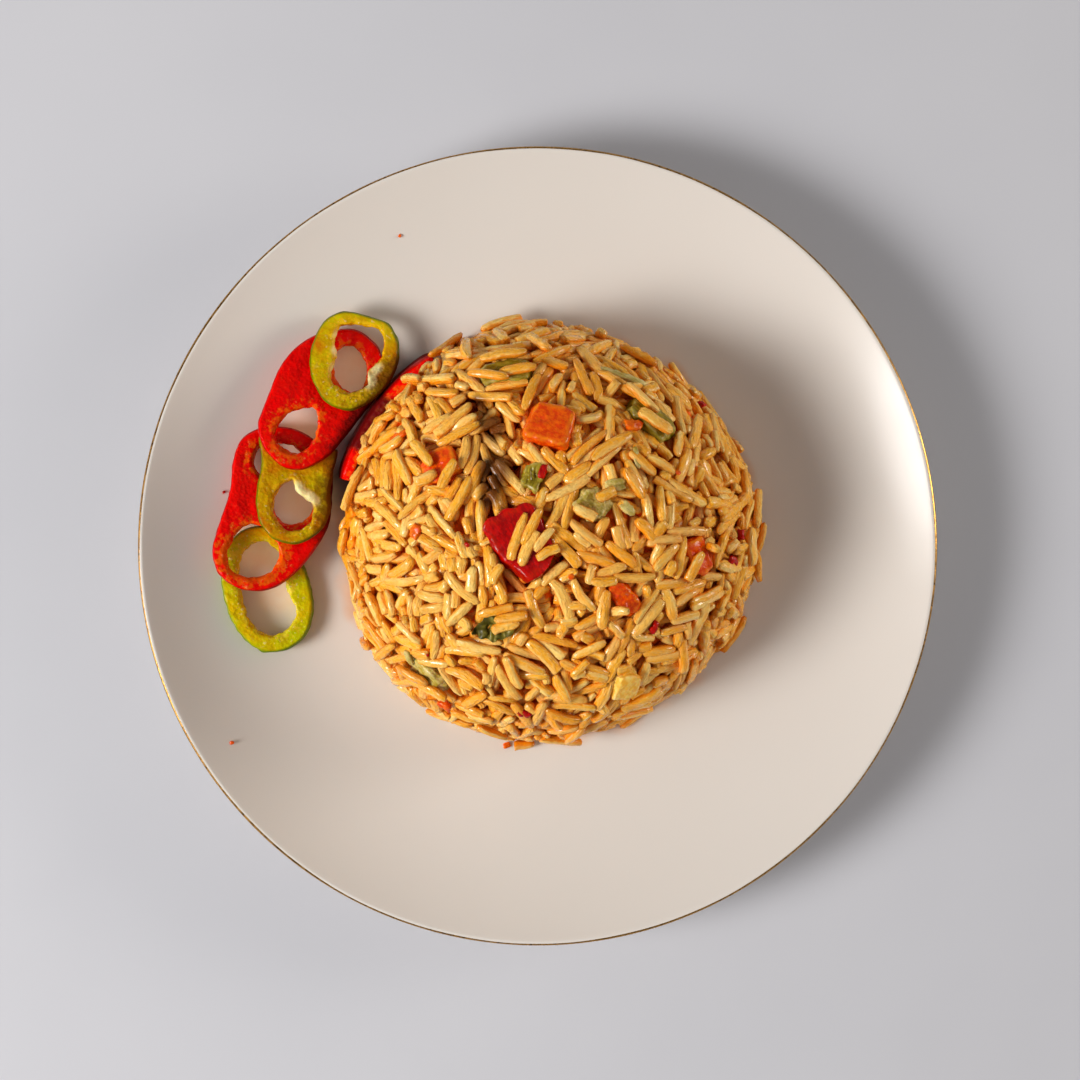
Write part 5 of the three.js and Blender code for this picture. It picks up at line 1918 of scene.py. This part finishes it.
@dataclass(frozen=True)
class PepperStrip:
    """A strip of red pepper on edge against the heap's foot, curved round the dome's axis."""

    node: str = "red_strip"
    inner: float = 57.9
    outer: float = 61.7
    height: float = 12.5
    azimuths: tuple[float, float] = (123.0, 165.0)
    shaded: tuple[float, float] = (138.0, 158.0)  # azimuths between which shade is painted on it, where rice hangs over it
    lean: float = 2.6  # how far its foot stands out from its top
    gap: float = 0.35

    def build(self, dome: Dome, plate: CoupePlate) -> None:
        """Carries a rounded oblong section round an arc and closes its two ends.

        Args:
            dome: The heap's form, which the arc follows.
            plate: The plate, on whose glaze the strip stands.
        """
        turn = np.linspace(0.0, TURN, 36, endpoint=False)
        ways = np.stack([np.cos(turn), np.sin(turn)], axis=1)
        section = ways * (np.abs(ways) ** 5).sum(axis=1, keepdims=True) ** (-1.0 / 5.0)
        azimuth = np.radians(np.linspace(*self.azimuths, 90))[:, None]
        taper = 1.0 - 0.3 * np.linspace(-1.0, 1.0, 90)[:, None] ** 12
        middle = (self.inner + self.outer) / 2.0
        radius = middle + (self.outer - self.inner) / 2.0 * section[:, 0] * taper
        height = self.height / 2.0 * (1.0 + section[:, 1] * taper)
        radius = radius + self.lean * (1.0 - height / self.height)
        x = radius * np.cos(azimuth) + dome.centre[0]
        y = radius * np.sin(azimuth) + dome.centre[1]
        z = height + plate.glaze_height(np.hypot(x, y)) + self.gap
        strip = Surface.over_closed_grid(np.stack([x, y, z], axis=-1)).facing_out()
        x, y, z = strip.points.T
        flat = np.hypot(x - dome.centre[0], y - dome.centre[1])
        strip.layers["from_skin"] = np.maximum(0.0, self.outer - 0.1 - flat)
        strip.layers["from_chamber"] = np.maximum(0.0, flat - self.inner)
        strip.layers["pith"] = np.zeros(len(flat))
        azimuth = np.degrees(np.arctan2(y - dome.centre[1], x - dome.centre[0]))
        # painted shade where rice hangs over the strip and on its lower part
        overhang_shade = np.clip(np.minimum(azimuth - self.shaded[0], self.shaded[1] - azimuth) / 2.5, 0.0, 1.0)
        foot = plate.glaze_height(np.hypot(x, y)) + self.gap
        low = np.clip(1.0 - (z - foot - 0.55 * self.height) / (0.3 * self.height), 0.0, 1.0)
        strip.layers["soaked"] = np.maximum(overhang_shade, low)
        away = unit(strip.points - strip.points.mean(axis=0))
        strip.points += away * (0.15 * ripple(strip.points, 6.0, 31))[:, None]
        strip.made("red_strip_cut", RED_PEPPER, (self.node,))


SLICES = (
    PepperSlice("green_slice_low", FRESH_GREEN),
    PepperSlice("red_slice_low", RED_PEPPER),
    PepperSlice(
        "green_slice_middle", GREEN_PEPPER,
        tags=((-68.6, 16.0, 2.6), (-65.0, 15.0, 3.2), (-62.4, 14.4, 2.8)),
    ),
    PepperSlice("red_slice_high", RED_PEPPER),
    PepperSlice(
        "green_slice_high", GREEN_PEPPER,
        tags=(
            (-45.8, 50.2, 2.4), (-48.0, 47.6, 2.6), (-57.2, 56.5, 2.0), (-56.9, 60.8, 1.8),
            (-57.5, 50.7, 2.2),
        ),
    ),
)


# ---------- camera, light and floor ----------
@dataclass(frozen=True)
class SoftLight:
    """A round soft light that faces the food and fades towards its rim, as a lit cloth does.

    Attributes:
        name: The light's name.
        azimuth: Where it stands, in degrees anticlockwise from +X.
        elevation: How high, in degrees.
        distance: How far off, in metres.
        size: Its width, in metres.
        power: In watts.
        colour: Its tint.
    """

    name: str
    azimuth: float
    elevation: float
    distance: float
    size: float
    power: float
    colour: tuple[float, float, float] = (1.0, 1.0, 1.0)

    def build(self) -> None:
        """Makes the light."""
        data = bpy.data.lights.new(self.name, "AREA")
        data.shape = "DISK"
        data.size, data.energy, data.color = self.size, self.power, self.colour
        data.use_nodes = True
        bench = Bench(data.node_tree)
        lit = next(node for node in data.node_tree.nodes if node.type == "EMISSION")
        around = bench.add("ShaderNodeVectorMath", operation="DISTANCE")
        bench.feed(around.inputs[0], bench.add("ShaderNodeNewGeometry").outputs["Parametric"])
        around.inputs[1].default_value = (0.5, 0.5, 0.0)
        bench.feed(lit.inputs["Strength"], bench.ranged(around.outputs["Value"], 0.5, 0.1, 0.0, 2.2))
        lamp = bpy.data.objects.new(self.name, data)
        turn, rise = math.radians(self.azimuth), math.radians(self.elevation)
        way = Vector((math.cos(rise) * math.cos(turn), math.cos(rise) * math.sin(turn), math.sin(rise)))
        lamp.location = way * self.distance
        lamp.rotation_euler = way.to_track_quat("Z", "Y").to_euler()
        bpy.context.scene.collection.objects.link(lamp)


@dataclass(frozen=True)
class Stage:
    """A pale table, soft light from the left and a camera straight above."""

    eye: tuple[float, float, float] = (0.0007, 0.0017, 0.722)
    lens: float = 81.2
    sensor: float = 36.0
    floor_side: float = 3.0
    sky: tuple[float, float, float, float] = (0.99, 0.97, 0.97, 1.0)
    sky_strength: float = 0.23
    lights: tuple[SoftLight, ...] = (
        SoftLight("key_left", 196.0, 35.5, 1.6, 1.05, 31.5, (1.0, 0.985, 0.965)),
        SoftLight("fill_right", 12.0, 15.0, 1.6, 1.0, 14.0, (1.0, 0.94, 0.86)),
    )

    def build(self) -> None:
        """Makes the floor, the lights, the sky and the camera."""
        half = self.floor_side / 2.0
        mesh = bpy.data.meshes.new("table")
        corners = [(-half, -half, 0.0), (half, -half, 0.0), (half, half, 0.0), (-half, half, 0.0)]
        mesh.from_pydata(corners, [], [(0, 1, 2, 3)])
        mesh.materials.append(TABLE.material())
        floor = bpy.data.objects.new("table", mesh)
        bpy.context.scene.collection.objects.link(floor)
        for light in self.lights:
            light.build()
        scene = bpy.context.scene
        scene.world = scene.world or bpy.data.worlds.new("studio")
        scene.world.use_nodes = True
        sky = scene.world.node_tree.nodes["Background"]
        sky.inputs["Color"].default_value = self.sky
        sky.inputs["Strength"].default_value = self.sky_strength
        data = bpy.data.cameras.new("above")
        data.lens, data.sensor_width = self.lens, self.sensor
        data.clip_start, data.clip_end = 0.01, 10.0
        camera = bpy.data.objects.new("above", data)
        camera.location = self.eye
        scene.collection.objects.link(camera)
        scene.camera = camera
        scene.view_settings.view_transform = "Standard"
        LOG.info("stage: camera %.3f m above the table", self.eye[2])


def write_size() -> None:
    """Updates the view layer, so that every object's place is current."""
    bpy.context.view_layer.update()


def main() -> None:
    """Builds the stage, the plate and all that lies on it, in that order."""
    logging.basicConfig(level=logging.INFO, format="%(message)s")
    plate, heap = CoupePlate(), RiceHeap()
    Stage().build()
    plate.build((*heap.dome.centre, heap.dome.radius))
    heap.build()
    for seed, piece in enumerate(VEGETABLES):
        piece.build(heap.dome, 100 + seed)
    for seed, piece in enumerate(SLICES):
        piece.build(heap.dome, 200 + seed)
    PepperStrip().build(heap.dome, plate)
    for seed, scraps in enumerate(SCRAPS):
        scraps.build(heap.dome, plate, 300 + 20 * seed)
    write_size()


if __name__ == "__main__":
    main()
